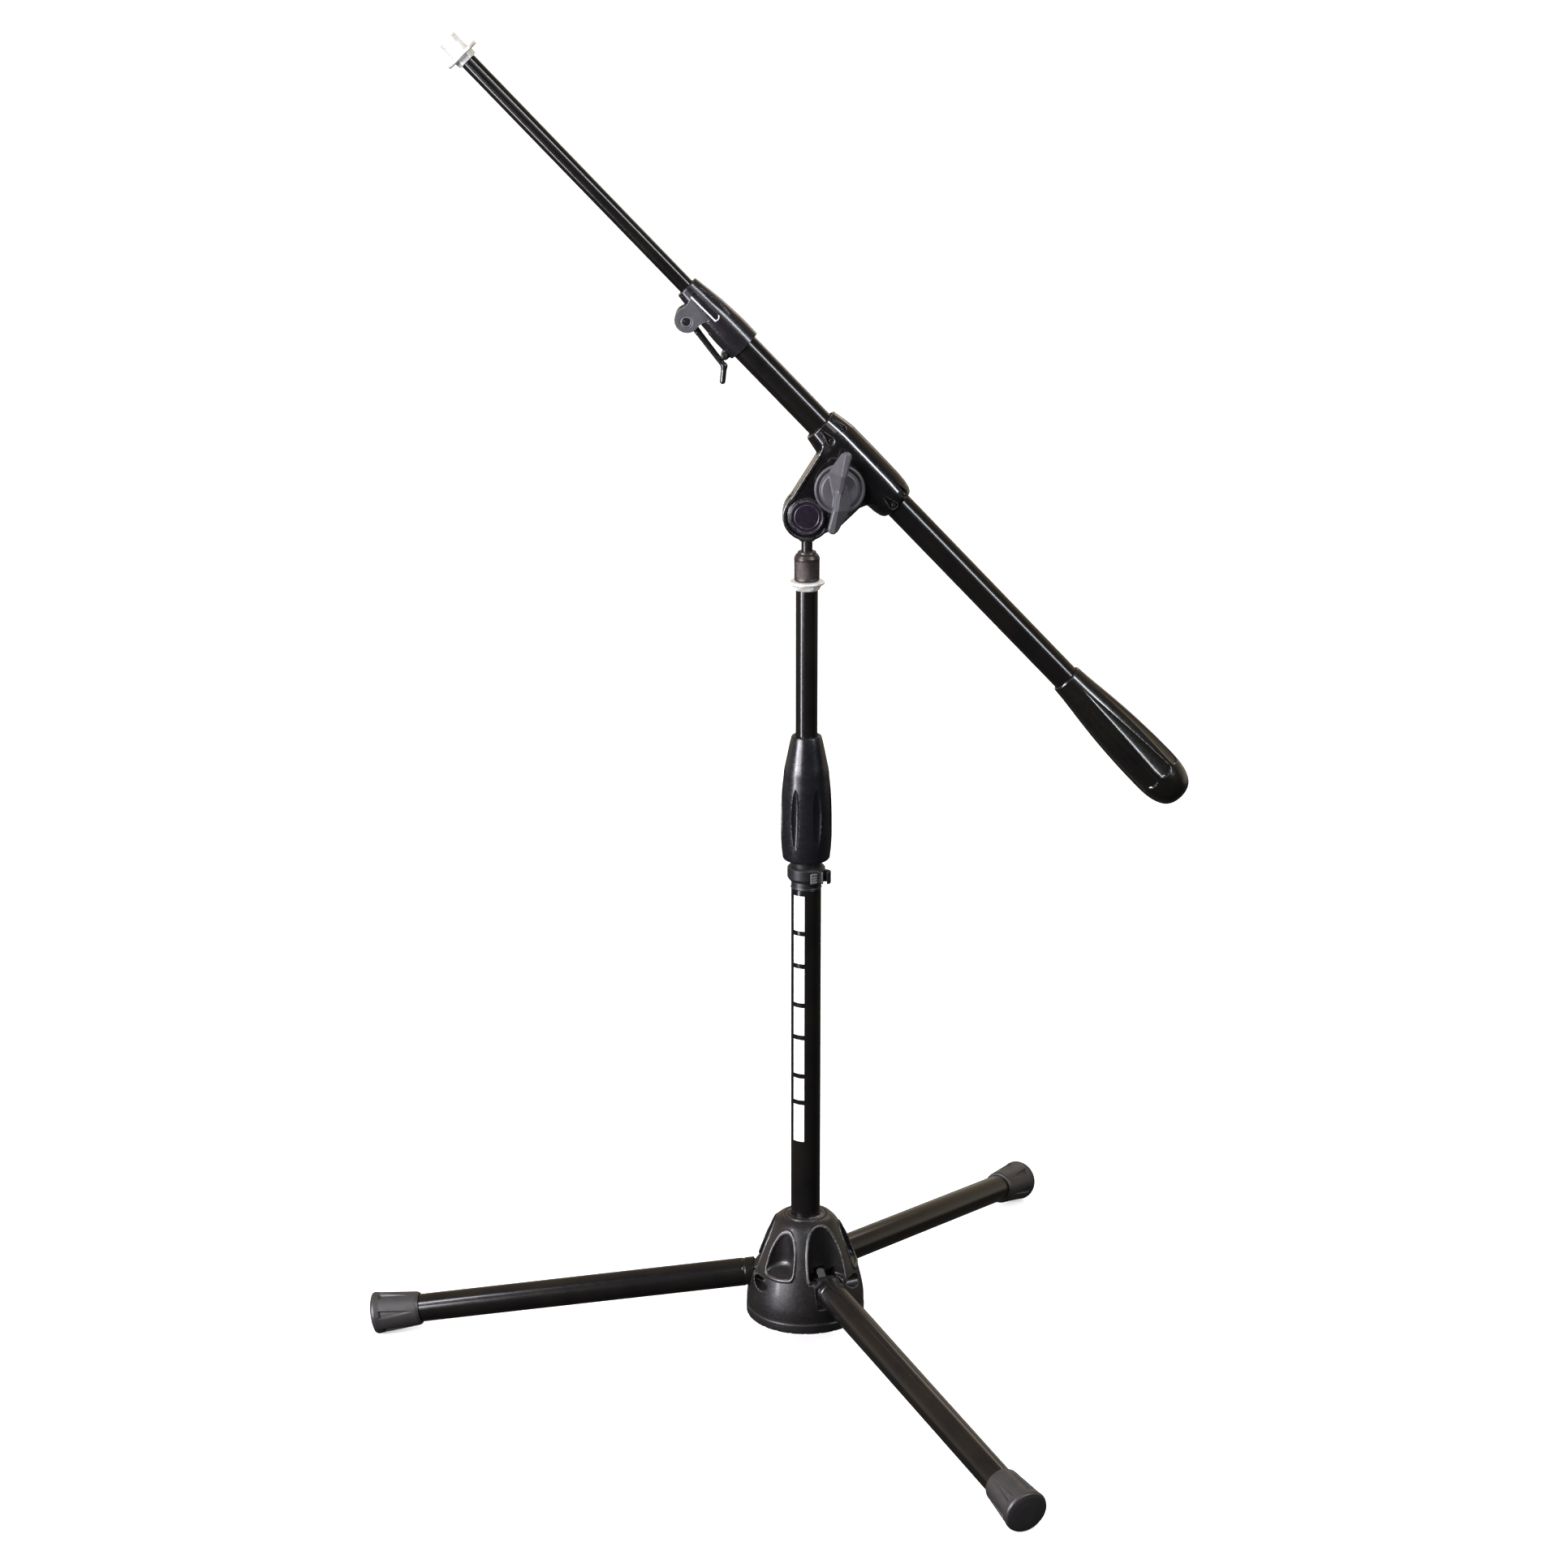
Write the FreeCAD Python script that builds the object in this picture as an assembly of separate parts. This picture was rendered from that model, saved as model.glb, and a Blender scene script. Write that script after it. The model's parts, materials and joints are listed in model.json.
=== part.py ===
import FreeCAD, Part
import os
from math import sin, cos, tan, pi, radians, degrees, sqrt, asin, atan2
from FreeCAD import Vector as V, Matrix, Placement, Rotation

# Short tripod microphone stand: cast dome base on three folding tube legs,
# two-stage mast with a twist clutch, and a tilting two-piece boom with a
# counterweight.  Millimetres, +Z up, Z = 0 is the surface it stands on.

# ---------------------------------------------------------------- dimensions
MAST_X, MAST_Y = 34.185, 8.709     # where the mast axis stands, so that the
                                  # footprint's middle is the origin
# legs
LEG_AZ = {"left": 177.2, "back": 57.2, "front": -62.8}   # degrees about +Z
PIV_R, PIV_Z = 37.5, 69.45        # leg pivot, radius from the mast and height
LEG_L = 351.4                     # pivot to the rubber tip
LEG_BETA = 8.465                  # droop of an open leg, degrees
LEG_RO, LEG_RI = 12.4, 10.9
CAP_R = 18.7                      # rubber foot, widest radius
CAP_LEN = 44.0
# dome base
HUB_Z0, HUB_SEAM = 31.6, 41.0     # underside, and joint line above the ring
SOCK_R = 12.75                    # socket for the mast
SOCK_Z0 = 46.0
# mast
LOW_RO, LOW_RI, LOW_TOP = 12.7, 11.2, 424.0
UP_RO, UP_RI = 9.1, 7.9
UP_BOT, UP_TOP = 279.0, 680.5
HANDLE_BOT, HANDLE_TOP = 448.6, 557.0
# boom
PIV_BZ = 743.5                    # height of the boom's tilt pivot
BOOM_OFF = 58.2                   # tilt pivot to boom axis
BOOM_TILT = 45.92                 # boom above the horizontal, degrees
OUT_RO, OUT_RI = 11.35, 10.1
INN_RO, INN_RI = 6.5, 5.3
STUD_R = 7.9375                   # 5/8 inch microphone thread, major radius
STUD_S0, STUD_S1 = 448.3, 463.6
CW_S0, CW_S1 = -247.0, -388.0     # counterweight along the boom

OUT = {}


# ------------------------------------------------------------------- helpers
def cyl(r, z0, z1, x=0.0, y=0.0):
    return Part.makeCylinder(r, z1 - z0, V(x, y, z0), V(0, 0, 1))


def tube(ro, ri, z0, z1):
    return cyl(ro, z0, z1).cut(cyl(ri, z0 - 1, z1 + 1))


def box(x0, x1, y0, y1, z0, z1):
    return Part.makeBox(x1 - x0, y1 - y0, z1 - z0, V(x0, y0, z0))


def revolve(pts):
    """Solid of revolution about Z from a closed (radius, z) outline."""
    vs = [V(r, 0, z) for r, z in pts]
    vs.append(vs[0])
    return Part.Face(Part.makePolygon(vs)).revolve(V(0, 0, 0), V(0, 0, 1), 360)


def revolve_smooth(inner, curve, tail):
    """Revolve: straight points, one smooth curve, straight points, closed."""
    bs = Part.BSplineCurve()
    bs.interpolate([V(r, 0, z) for r, z in curve])
    edges = []
    a = [V(r, 0, z) for r, z in inner] + [V(curve[0][0], 0, curve[0][1])]
    for p, q in zip(a[:-1], a[1:]):
        edges.append(Part.LineSegment(p, q).toShape())
    edges.append(bs.toShape())
    b = [V(curve[-1][0], 0, curve[-1][1])] + [V(r, 0, z) for r, z in tail]
    b.append(a[0])
    for p, q in zip(b[:-1], b[1:]):
        edges.append(Part.LineSegment(p, q).toShape())
    return Part.Face(Part.Wire(edges)).revolve(V(0, 0, 0), V(0, 0, 1), 360)


def prism_y(pts, y0, y1):
    """Outline in (x, z), extruded along y."""
    vs = [V(x, y0, z) for x, z in pts]
    vs.append(vs[0])
    return Part.Face(Part.makePolygon(vs)).extrude(V(0, y1 - y0, 0))


def ycyl(r, y0, y1, x=0.0, z=0.0):
    return Part.makeCylinder(r, y1 - y0, V(x, y0, z), V(0, 1, 0))


def hexz(af, z0, z1, turn=0.0):
    r = af / 2 / cos(pi / 6)
    vs = [V(r * cos(pi / 3 * i + turn), r * sin(pi / 3 * i + turn), z0)
          for i in range(7)]
    return Part.Face(Part.makePolygon(vs)).extrude(V(0, 0, z1 - z0))


def spindle(length, half):
    """Lens of revolution about Z, centred on the origin."""
    a = Part.Arc(V(0, 0, -length / 2), V(half, 0, 0), V(0, 0, length / 2))
    w = Part.Wire([a.toShape(),
                   Part.LineSegment(V(0, 0, length / 2),
                                    V(0, 0, -length / 2)).toShape()])
    return Part.Face(w).revolve(V(0, 0, 0), V(0, 0, 1), 360)


def place(shape, origin, x, y, z):
    m = Matrix(x.x, y.x, z.x, origin.x, x.y, y.y, z.y, origin.y,
               x.z, y.z, z.z, origin.z, 0, 0, 0, 1)
    s = shape.copy()
    s.Placement = Placement(m).multiply(s.Placement)
    return s


SHIFT = Placement(V(MAST_X, MAST_Y, 0), Rotation())


def put(name, *shapes):
    solids = []
    for s in shapes:
        s = s.copy()
        s.Placement = SHIFT.multiply(s.Placement)
        got = s.Solids
        assert got, name
        solids += got
    OUT[name] = solids[0] if len(solids) == 1 else Part.makeCompound(solids)


# ---------------------------------------------------------------- leg frames
def leg_place(shape, az):
    """Leg frame: origin at the pivot, +X out along the leg, +Y sideways."""
    b, a = radians(LEG_BETA), radians(az)
    u = V(cos(a), sin(a), 0)
    x = V(u.x * cos(b), u.y * cos(b), -sin(b))
    y = V(-sin(a), cos(a), 0)
    z = x.cross(y)
    return place(shape, V(PIV_R * u.x, PIV_R * u.y, PIV_Z), x, y, z)


def az_place(shape, az):
    a = radians(az)
    return place(shape, V(0, 0, 0), V(cos(a), sin(a), 0),
                 V(-sin(a), cos(a), 0), V(0, 0, 1))


# ---------------------------------------------------------------------- base
dome_curve = [(51.5, HUB_SEAM), (51.2, 51.5), (49.8, 60.0), (47.5, 70.0),
              (44.1, 82.3), (41.0, 91.0), (37.8, 99.5), (33.9, 107.3),
              (29.7, 115.5), (26.2, 120.4), (23.2, 122.8), (20.8, 123.9),
              (19.0, 124.2)]
outer = revolve_smooth([(0.0, 34.0), (46.5, 34.0), (46.5, HUB_SEAM)],
                       dome_curve,
                       [(18.6, 123.4), (17.9, 123.4), (17.6, 124.6),
                        (15.0, 125.4), (0.0, 125.4)])
under = cyl(43.0, 33.0, 50.0).cut(cyl(20.0, 33.0, 50.0))
housing = outer.cut(under).cut(cyl(SOCK_R, SOCK_Z0, 130.0))
housing = housing.cut(cyl(20.5, 33.0, 40.0))       # room for the screw head
housing = housing.cut(cyl(4.2, 30.0, 50.0))

POCKET_C, POCKET_R, LEDGE_Z = 43.0, 18.4, 76.0
SLOT_W = 12.9
for name, az in LEG_AZ.items():
    # wide upper recess that the folded leg lies in
    up = cyl(POCKET_R, LEDGE_Z, 140.0, POCKET_C, 0)
    up = up.fuse(box(POCKET_C, 70, -POCKET_R, POCKET_R, LEDGE_Z, 140))
    # narrow slot that the leg swings in
    up = up.fuse(box(PIV_R, 70, -SLOT_W, SLOT_W, PIV_Z, LEDGE_Z + 1))
    # clearance of the pivot end and of the detent blade
    up = up.fuse(ycyl(14.8, -SLOT_W, SLOT_W, PIV_R, PIV_Z))
    up = up.fuse(ycyl(18.4, -4.6, 4.6, PIV_R, PIV_Z))
    housing = housing.cut(az_place(up, az))
    low = box(0, 60, -SLOT_W, SLOT_W, -13.3, 14)
    low = low.cut(box(-1, 61, -20, 20, 14, 30))
    housing = housing.cut(leg_place(low, az))
    # blind cross bore of the pivot pin, counterbored on its open side
    pin = ycyl(4.03, -22.0, 40, PIV_R, PIV_Z)
    pin = pin.fuse(ycyl(5.9, 14.6, 45.0, PIV_R, PIV_Z))
    housing = housing.cut(az_place(pin, az))
    # shallow recess between two legs, floor sloping outwards
    mid = cyl(14.7, 70.0, 140.0, 43.5, 0)
    floor = prism_y([(20, 60), (60, 60), (60, 70.5), (26.5, 87.5), (20, 90)],
                    -30, 30)
    housing = housing.cut(az_place(mid.cut(floor), az + 60.0))
put("base_housing", housing)

put("base_bottom_ring",
    revolve([(46.6, HUB_Z0), (50.2, HUB_Z0), (51.6, HUB_Z0 + 1.4),
             (51.8, HUB_Z0 + 5.0), (51.8, HUB_SEAM - 0.9),
             (51.3, HUB_SEAM), (46.6, HUB_SEAM)]))
put("base_washer", tube(11.0, 3.5, 38.2, 40.0))
put("base_socket_screw",
    cyl(6.5, 33.4, 38.2).fuse(cyl(3.35, 38.2, 60.0)).cut(hexz(5.0, 33.0, 36.4)))

# ---------------------------------------------------------------------- legs
pins = []
for name, az in LEG_AZ.items():
    pins.append(az_place(ycyl(4.0, -21.6, 14.4, PIV_R, PIV_Z), az))

    def along_x(shape):                 # local Z axis laid along the leg
        return place(shape, V(0, 0, 0), V(0, 0, -1), V(0, 1, 0), V(1, 0, 0))

    t = tube(LEG_RO, LEG_RI, 6.5, LEG_L - 6.2)
    groove = tube(14.0, LEG_RO - 0.45, 14.6, 16.2)
    t = along_x(t.cut(groove))
    put("leg_tube_" + name, leg_place(t, az))

    k = along_x(cyl(LEG_RI - 0.02, 8.0, 42.0))
    k = k.fuse(ycyl(8.6, -8.8, 8.8)).fuse(ycyl(6.3, -12.5, 12.5))
    k = k.fuse(box(0, 12, -8.8, 8.8, -8.6, 8.6).common(
        along_x(cyl(LEG_RI - 0.02, -1, 13))))
    k = k.cut(ycyl(4.06, -20, 20))
    ang = radians(139.9)
    bx = V(cos(ang), 0, sin(ang))
    bz = bx.cross(V(0, 1, 0))
    slot = place(box(5.4, 20, -4.0, 4.0, -1.1, 1.1), V(0, 0, 0), bx,
                 V(0, 1, 0), bz)
    k = k.cut(slot)
    put("leg_knuckle_" + name, leg_place(k, az))
    blade = place(box(5.4, 17.3, -4.0, 4.0, -1.1, 1.1), V(0, 0, 0), bx,
                  V(0, 1, 0), bz)
    put("leg_detent_" + name, leg_place(blade, az))

    L = LEG_L
    cap = revolve([(LEG_RO, L - CAP_LEN), (14.0, L - CAP_LEN),
                   (14.9, L - CAP_LEN + 2.2), (17.9, L - 9.0),
                   (18.6, L - 4.6), (CAP_R, L - 3.2), (18.2, L - 1.2),
                   (17.2, L - 0.3), (15.9, L), (0, L), (0, L - 6.2),
                   (LEG_RO, L - 6.2)])
    cap = leg_place(along_x(cap), az)
    cap = cap.common(box(-600, 600, -600, 600, 0, 200))
    put("foot_cap_" + name, cap)
put("leg_pivot_pins", *pins)

# ---------------------------------------------------------------- lower mast
put("lower_mast_tube", tube(LOW_RO, LOW_RI, SOCK_Z0, LOW_TOP))
put("lower_mast_plug",
    cyl(LOW_RI - 0.02, SOCK_Z0, 66.0).cut(cyl(3.4, 40, 70)))
put("mast_clutch_body",
    revolve([(9.2, 402.0), (LOW_RI - 0.02, 402.0), (LOW_RI - 0.02, LOW_TOP),
             (13.1, LOW_TOP), (13.3, LOW_TOP + 1.0), (12.7, LOW_TOP + 2.2),
             (12.7, 430.4), (12.3, 431.0), (12.3, 450.0), (15.0, 450.6),
             (15.0, 492.0), (12.4, 494.0), (12.4, 495.0), (9.2, 495.0)]))
collet = revolve([(9.16, 495.2), (12.3, 495.2), (12.3, 500.0),
                  (10.7, 545.0), (9.16, 545.0)])
for i in range(3):
    slit = box(5, 20, -0.8, 0.8, 505, 550)
    collet = collet.cut(az_place(slit, 120.0 * i + 30))
put("mast_clutch_collet", collet)

h_curve = [(19.7, HANDLE_BOT + 2.2), (20.8, 459.3), (21.4, 468.0),
           (21.4, 480.0), (21.1, 497.8), (20.4, 510.5), (19.5, 519.5),
           (18.7, 527.5), (17.0, 535.9), (15.3, 544.3), (13.9, 551.5),
           (12.9, 555.4)]
handle = revolve_smooth([(15.06, HANDLE_BOT), (15.8, HANDLE_BOT)], h_curve,
                        [(12.2, HANDLE_TOP - 0.3), (11.5, HANDLE_TOP),
                         (9.5, HANDLE_TOP), (9.5, 549.0), (11.2, 547.0),
                         (12.85, 499.0), (15.06, 494.0)])
for i in range(7):
    a = radians(-90 + 25.7 + i * 360.0 / 7)
    s = spindle(84.0, 4.3)
    s.Placement = Placement(V(23.2 * cos(a), 23.2 * sin(a), 493.0),
                            Rotation())
    handle = handle.cut(s)
put("mast_clutch_handle", handle)

# cable clip that turns on the clutch neck
ring = revolve([(12.38, 431.2), (14.2, 431.2), (16.0, 434.0), (16.0, 442.2),
                (14.6, 443.6), (12.38, 443.6)])
HOOK_X, HOOK_Y, HOOK_R = 15.8, -14.3, 3.0
arm = az_place(box(12.6, 19.6, -3.4, 3.4, 433.0, 442.4), -42.2).cut(
    cyl(12.38, 430, 445))
hook = cyl(HOOK_R + 2.0, 432.4, 443.4, HOOK_X, HOOK_Y).cut(
    cyl(HOOK_R, 430, 446, HOOK_X, HOOK_Y))
mouth = box(0, 12, -1.4, 1.4, 430, 446)
mouth.Placement = Placement(V(HOOK_X, HOOK_Y, 0), Rotation(V(0, 0, 1), -90))
hook = hook.cut(mouth)
arm = arm.cut(cyl(HOOK_R, 430, 446, HOOK_X, HOOK_Y))
put("cable_clip", ring.fuse(arm).fuse(hook).cut(
    az_place(box(15.0, 17.4, -4.6, 4.6, 431.0, 441.0), -66.0)))
put("cable_clip_plate", az_place(
    box(15.0, 17.2, -4.4, 4.2, 431.4, 440.6), -66.0))

# ---------------------------------------------------------------- upper mast
put("upper_mast_tube", tube(UP_RO, UP_RI, UP_BOT, UP_TOP))
put("upper_mast_guide", revolve(
    [(UP_RI, UP_BOT - 3), (LOW_RI - 0.06, UP_BOT - 3),
     (LOW_RI - 0.06, UP_BOT + 17), (UP_RO, UP_BOT + 17), (UP_RO, UP_BOT),
     (UP_RI, UP_BOT)]))
put("mast_top_stud", cyl(UP_RI - 0.02, 655.0, UP_TOP).fuse(
    hexz(20.5, UP_TOP, 685.1)).fuse(cyl(4.76, 685.1, 703.0)))
put("mast_top_flange", revolve(
    [(4.78, 685.1), (13.9, 685.1), (14.6, 685.8), (14.6, 687.1),
     (13.9, 687.8), (4.78, 687.8)]))
put("coupling_nut", revolve(
    [(4.82, 688.0), (9.6, 688.0), (10.6, 689.0), (10.6, 707.5), (9.4, 709.8),
     (7.8, 711.0), (7.4, 712.6), (4.75, 712.6), (4.75, 708.2), (7.6, 708.2),
     (7.6, 704.2), (4.82, 704.2)]))

# ------------------------------------------------------- boom head on the mast
eye = ycyl(17.0, -4.0, 4.0, 0, PIV_BZ)
neck = cyl(4.65, 707.0, PIV_BZ - 16.95).fuse(
    cyl(4.65, PIV_BZ - 18.0, PIV_BZ - 12.0).common(
        box(-20, 20, -4.0, 4.0, 700, 740)))
shoulder = revolve([(0, 718.0), (4.65, 718.0), (6.6, 722.0), (6.6, 729.0),
                    (0, 729.0)]).common(box(-20, 20, -4.0, 4.0, 700, 740))
post = eye.fuse(neck).fuse(shoulder).fuse(cyl(7.4, 704.6, 707.6))
post = post.cut(ycyl(4.56, -10, 10, 0, PIV_BZ))
put("swivel_post", post)

# Boom frame: X from the boom axis towards the tilt pivot, Y to the front of
# the stand, Z along the boom towards its threaded tip.
TH = radians(BOOM_TILT)
BD = V(-cos(TH), 0, sin(TH))
BN = V(-sin(TH), 0, -cos(TH))
BY = V(0, -1, 0)
FOOT = V(0, 0, PIV_BZ) - BN * BOOM_OFF


def boom(shape):
    return place(shape, FOOT, BN, BY, BD)


ARM_T = 13.0
sleeve = revolve([(0, -45.2), (13.6, -45.2), (14.7, -44.4), (16.4, -41.6),
                  (17.6, -36.0), (18.3, -28.0), (18.5, 0.0), (18.3, 26.0),
                  (17.2, 34.0), (15.2, 44.4), (14.2, 45.2), (0, 45.2)])
flank = [(10.0, 31.0), (18.9, 29.5), (BOOM_OFF - 0.6, 20.0),
         (BOOM_OFF - 0.6, -20.0), (38.0, -23.2), (26.0, -25.5),
         (17.5, -32.0), (10.0, -38.0)]
armp = prism_y(flank, -ARM_T, ARM_T).fuse(
    ycyl(20.0, -ARM_T, ARM_T, BOOM_OFF, 0))
armp = armp.cut(ycyl(21.4, -4.85, 4.85, BOOM_OFF, 0))
tee = sleeve.fuse(armp).cut(cyl(12.96, -60, 60))
KNOB_N, KNOB_S = 22.6, -0.9
WING_TURN = 36.5                  # resting turn of the wing knob, degrees
WING_Y = 40.0                     # how far its wings stand off the boom axis
tee = tee.cut(ycyl(4.06, -40, 40, KNOB_N, KNOB_S))
tee = tee.cut(ycyl(4.52, -40, 40, BOOM_OFF, 0))
# flat seats for the wing screw's collar and for the nut behind
tee = tee.cut(ycyl(10.6, ARM_T, 30, KNOB_N, KNOB_S))
tee = tee.cut(ycyl(9.6, -30, -ARM_T, KNOB_N, KNOB_S))
# long recesses with a set screw each, at both ends of the sleeve
sets = []
for s0, s1 in ((31.8, 1.0), (-41.2, 1.0)):
    for ang in (-4.0, 47.0):
        a = radians(90.0 + ang)          # +Y faces the front
        e = V(cos(a), sin(a), 0)
        q = V(0, 0, 1).cross(e)
        r = cyl(2.6, 15.9, 24.0).fuse(cyl(2.6, 15.9, 24.0, 7.0 * s1, 0)).fuse(
            box(min(0, 7 * s1), max(0, 7 * s1), -2.6, 2.6, 15.9, 24.0))
        r = r.fuse(cyl(1.65, 13.0, 20.0))
        tee = tee.cut(place(r, V(0, 0, s0), V(0, 0, 1), V(0, 0, 1).cross(e) * -1, e))
        g = cyl(1.6, 13.2, 16.6)
        sets.append(boom(place(g, V(0, 0, s0), V(0, 0, 1),
                               V(0, 0, 1).cross(e) * -1, e)))
fr = tee.common(box(-60, 100, 0.0, 60, -60, 60))
bk = tee.common(box(-60, 100, -60, 0.0, -60, 60))
put("boom_clamp_front", boom(fr))
put("boom_clamp_back", boom(bk))
put("clamp_set_screws", *sets)
w = ycyl(16.8, 4.02, 4.83, BOOM_OFF, 0).cut(ycyl(5.2, 3, 6, BOOM_OFF, 0))
w2 = ycyl(16.8, -4.83, -4.02, BOOM_OFF, 0).cut(ycyl(5.2, -6, -3, BOOM_OFF, 0))
put("pivot_friction_washers", boom(w), boom(w2))
put("pivot_pin", boom(ycyl(4.5, -ARM_T, ARM_T, BOOM_OFF, 0)))
badge = ycyl(14.0, ARM_T, ARM_T + 0.9, BOOM_OFF, 0).fuse(
    ycyl(14.0, ARM_T, ARM_T + 1.7, BOOM_OFF, 0).cut(
        ycyl(12.4, ARM_T, ARM_T + 5, BOOM_OFF, 0)))
put("pivot_cap_front", boom(badge))
badge = ycyl(14.0, -ARM_T - 0.9, -ARM_T, BOOM_OFF, 0).fuse(
    ycyl(14.0, -ARM_T - 1.7, -ARM_T, BOOM_OFF, 0).cut(
        ycyl(12.4, -ARM_T - 5, -ARM_T, BOOM_OFF, 0)))
put("pivot_cap_back", boom(badge))

# wing screw: moulded wing knob on a steel screw, nut held at the back
kn = ycyl(9.8, ARM_T + 0.2, 20.0, KNOB_N, KNOB_S)
kn = kn.fuse(ycyl(20.5, 19.4, 22.6, KNOB_N, KNOB_S))
kn = kn.fuse(ycyl(16.2, 22.6, 26.2, KNOB_N, KNOB_S))
half = [(-4.0, -13.0), (6.0, -13.4), (20.0, -8.6), (31.6, -3.7), (33.6, -1.2),
        (34.0, 1.4), (32.8, 3.9), (30.0, 4.9), (14.0, 3.2), (0.0, 3.2),
        (-4.0, 0.0)]
wing = prism_y(half, 22.6, WING_Y).fuse(
    prism_y([(-a, -b) for a, b in half], 22.6, WING_Y))
wing.Placement = Placement(V(KNOB_N, 0, KNOB_S),
                           Rotation(V(0, 1, 0), WING_TURN))
kn = kn.fuse(wing).cut(ycyl(4.0, 0, 30.0, KNOB_N, KNOB_S))
put("wing_knob", boom(kn))
put("wing_screw", boom(ycyl(4.0, -21.4, 30.0, KNOB_N, KNOB_S)))
nut = place(hexz(13.0, 0, 6.0), V(KNOB_N, -ARM_T - 7.2, KNOB_S),
            V(1, 0, 0), V(0, 0, -1), V(0, 1, 0))
put("wing_screw_nut", boom(nut.cut(ycyl(4.05, -40, 0, KNOB_N, KNOB_S))))
put("wing_nut_washer", boom(
    ycyl(9.0, -ARM_T - 1.2, -ARM_T, KNOB_N, KNOB_S).cut(
        ycyl(4.2, -40, 0, KNOB_N, KNOB_S))))

# split plastic liner that the boom slides and turns in
liner = tube(12.9, OUT_RO + 0.05, -44.0, 44.0).cut(
    box(-20, -5, -0.8, 0.8, -50, 50))
put("clamp_liner", boom(liner))

# ---------------------------------------------------------------- outer boom
CL_A, CL_B, CL_C = 132.5, 172.0, 198.5       # clutch casting along the boom
put("boom_outer_tube", boom(tube(OUT_RO, OUT_RI, -300.0, CL_B)))
cw = revolve_smooth(
    [(0, -300.0), (OUT_RO, -300.0), (OUT_RO, CW_S0)],
    [(12.9, CW_S0), (14.0, -257.7), (15.3, -270.2), (16.7, -282.7),
     (17.9, -295.2), (18.9, -307.8), (19.6, -320.4), (20.1, -333.0),
     (20.35, -345.7), (20.35, -358.3), (19.6, -369.0), (17.2, -378.0),
     (13.2, -384.4), (8.2, -387.4)],
    [(5.0, CW_S1), (0, CW_S1)])
put("counterweight", boom(cw.cut(cyl(3.4, -345, -290))))
put("counterweight_plug", boom(cyl(OUT_RI - 0.02, -300.0, -278.0).cut(
    cyl(3.4, -310, -270))))
put("counterweight_stud", boom(cyl(3.35, -342.0, -279.0)))

cs_curve = [(14.3, CL_A), (14.5, 150.0), (14.0, 160.0), (13.5, 168.0),
            (12.6, 177.0), (11.6, 185.0), (10.6, 192.0), (9.8, CL_C - 0.8)]
casting = revolve_smooth([(0, CL_A)], cs_curve, [(9.2, CL_C), (0, CL_C)])
EAR_N, EAR_S, EAR_R = 18.5, 179.3, 9.2
ear = prism_y([(2.0, 166.5), (5.4, 166.8), (14.0, 170.6),
               (EAR_N + 8.6, 176.0), (EAR_N + 5.0, 187.0),
               (12.0, 187.5), (4.0, 192.5)], -8.6, 8.6)
ear = ear.fuse(ycyl(EAR_R, -8.6, 8.6, EAR_N, EAR_S))
casting = casting.fuse(ear)
lug = ycyl(3.4, -7.0, 7.0, 16.0, 138.4).fuse(
    box(8.0, 16.0, -7, 7, 135.0, 141.8))
casting = casting.fuse(lug)
casting = casting.cut(cyl(OUT_RO, 100, CL_B)).cut(cyl(8.9, 150, 190.0)).cut(
    cyl(6.75, 150, 210))
casting = casting.cut(box(10.6, 40, -4.9, 4.9, 160.0, 200.0))   # fork gap
casting = casting.cut(ycyl(2.02, -12, 12, EAR_N, EAR_S))
casting = casting.cut(box(0, 30, -0.8, 0.8, 100, 146))          # clamp slit
casting = casting.cut(box(9.0, 12.0, -4.9, 4.9, 173.0, 189.0))
casting = casting.cut(ycyl(2.03, -12, 12, 16.0, 138.4))
# long shallow channel on the front and tapered recess on the top
casting = casting.cut(prism_y([(-1.2, 172.0), (1.2, 172.0), (1.2, 194.0),
                               (-1.2, 194.0)], 11.9, 20))
put("boom_clutch_casting", boom(casting))
put("boom_clutch_screw", boom(ycyl(2.0, -8.4, 8.4, 16.0, 138.4).fuse(
    ycyl(2.9, 7.0, 9.0, 16.0, 138.4)).fuse(
    ycyl(2.9, -9.2, -7.0, 16.0, 138.4))))
put("cam_pin", boom(ycyl(2.0, -8.6, 8.6, EAR_N, EAR_S).fuse(
    ycyl(2.9, 8.6, 9.5, EAR_N, EAR_S)).fuse(
    ycyl(2.9, -9.5, -8.6, EAR_N, EAR_S))))
shoe = tube(8.85, INN_RO + 0.06, 173.0, 189.0)
shoe = shoe.cut(box(-12, 0, -0.7, 0.7, 150, 200))
put("boom_clutch_shoe", boom(shoe))

# cam lever: eccentric between the fork's ears and a cranked handle
cam = ycyl(6.2, -4.7, 4.7, EAR_N, EAR_S).fuse(
    ycyl(6.4, -4.7, 4.7, EAR_N - 0.6, EAR_S - 0.5))
cam = cam.cut(cyl(9.0, 150, 210))
p = [(EAR_N - 1.0, EAR_S - 4.0), (EAR_N + 0.2, 166.0), (22.6, 132.5),
     (32.4, 124.4)]


def bar_between(a, b, r):
    d = V(b[0] - a[0], 0, b[1] - a[1])
    return Part.makeCylinder(r, d.Length, V(a[0], 0, a[1]), d)


LEV_R = 2.25
lev = cam
for a, b in zip(p[:-1], p[1:]):
    lev = lev.fuse(bar_between(a, b, LEV_R))
for a in p[1:-1]:
    lev = lev.fuse(Part.makeSphere(LEV_R, V(a[0], 0, a[1])))
lev = lev.cut(ycyl(2.06, -12, 12, EAR_N, EAR_S))
put("cam_lever", boom(lev))

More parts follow.
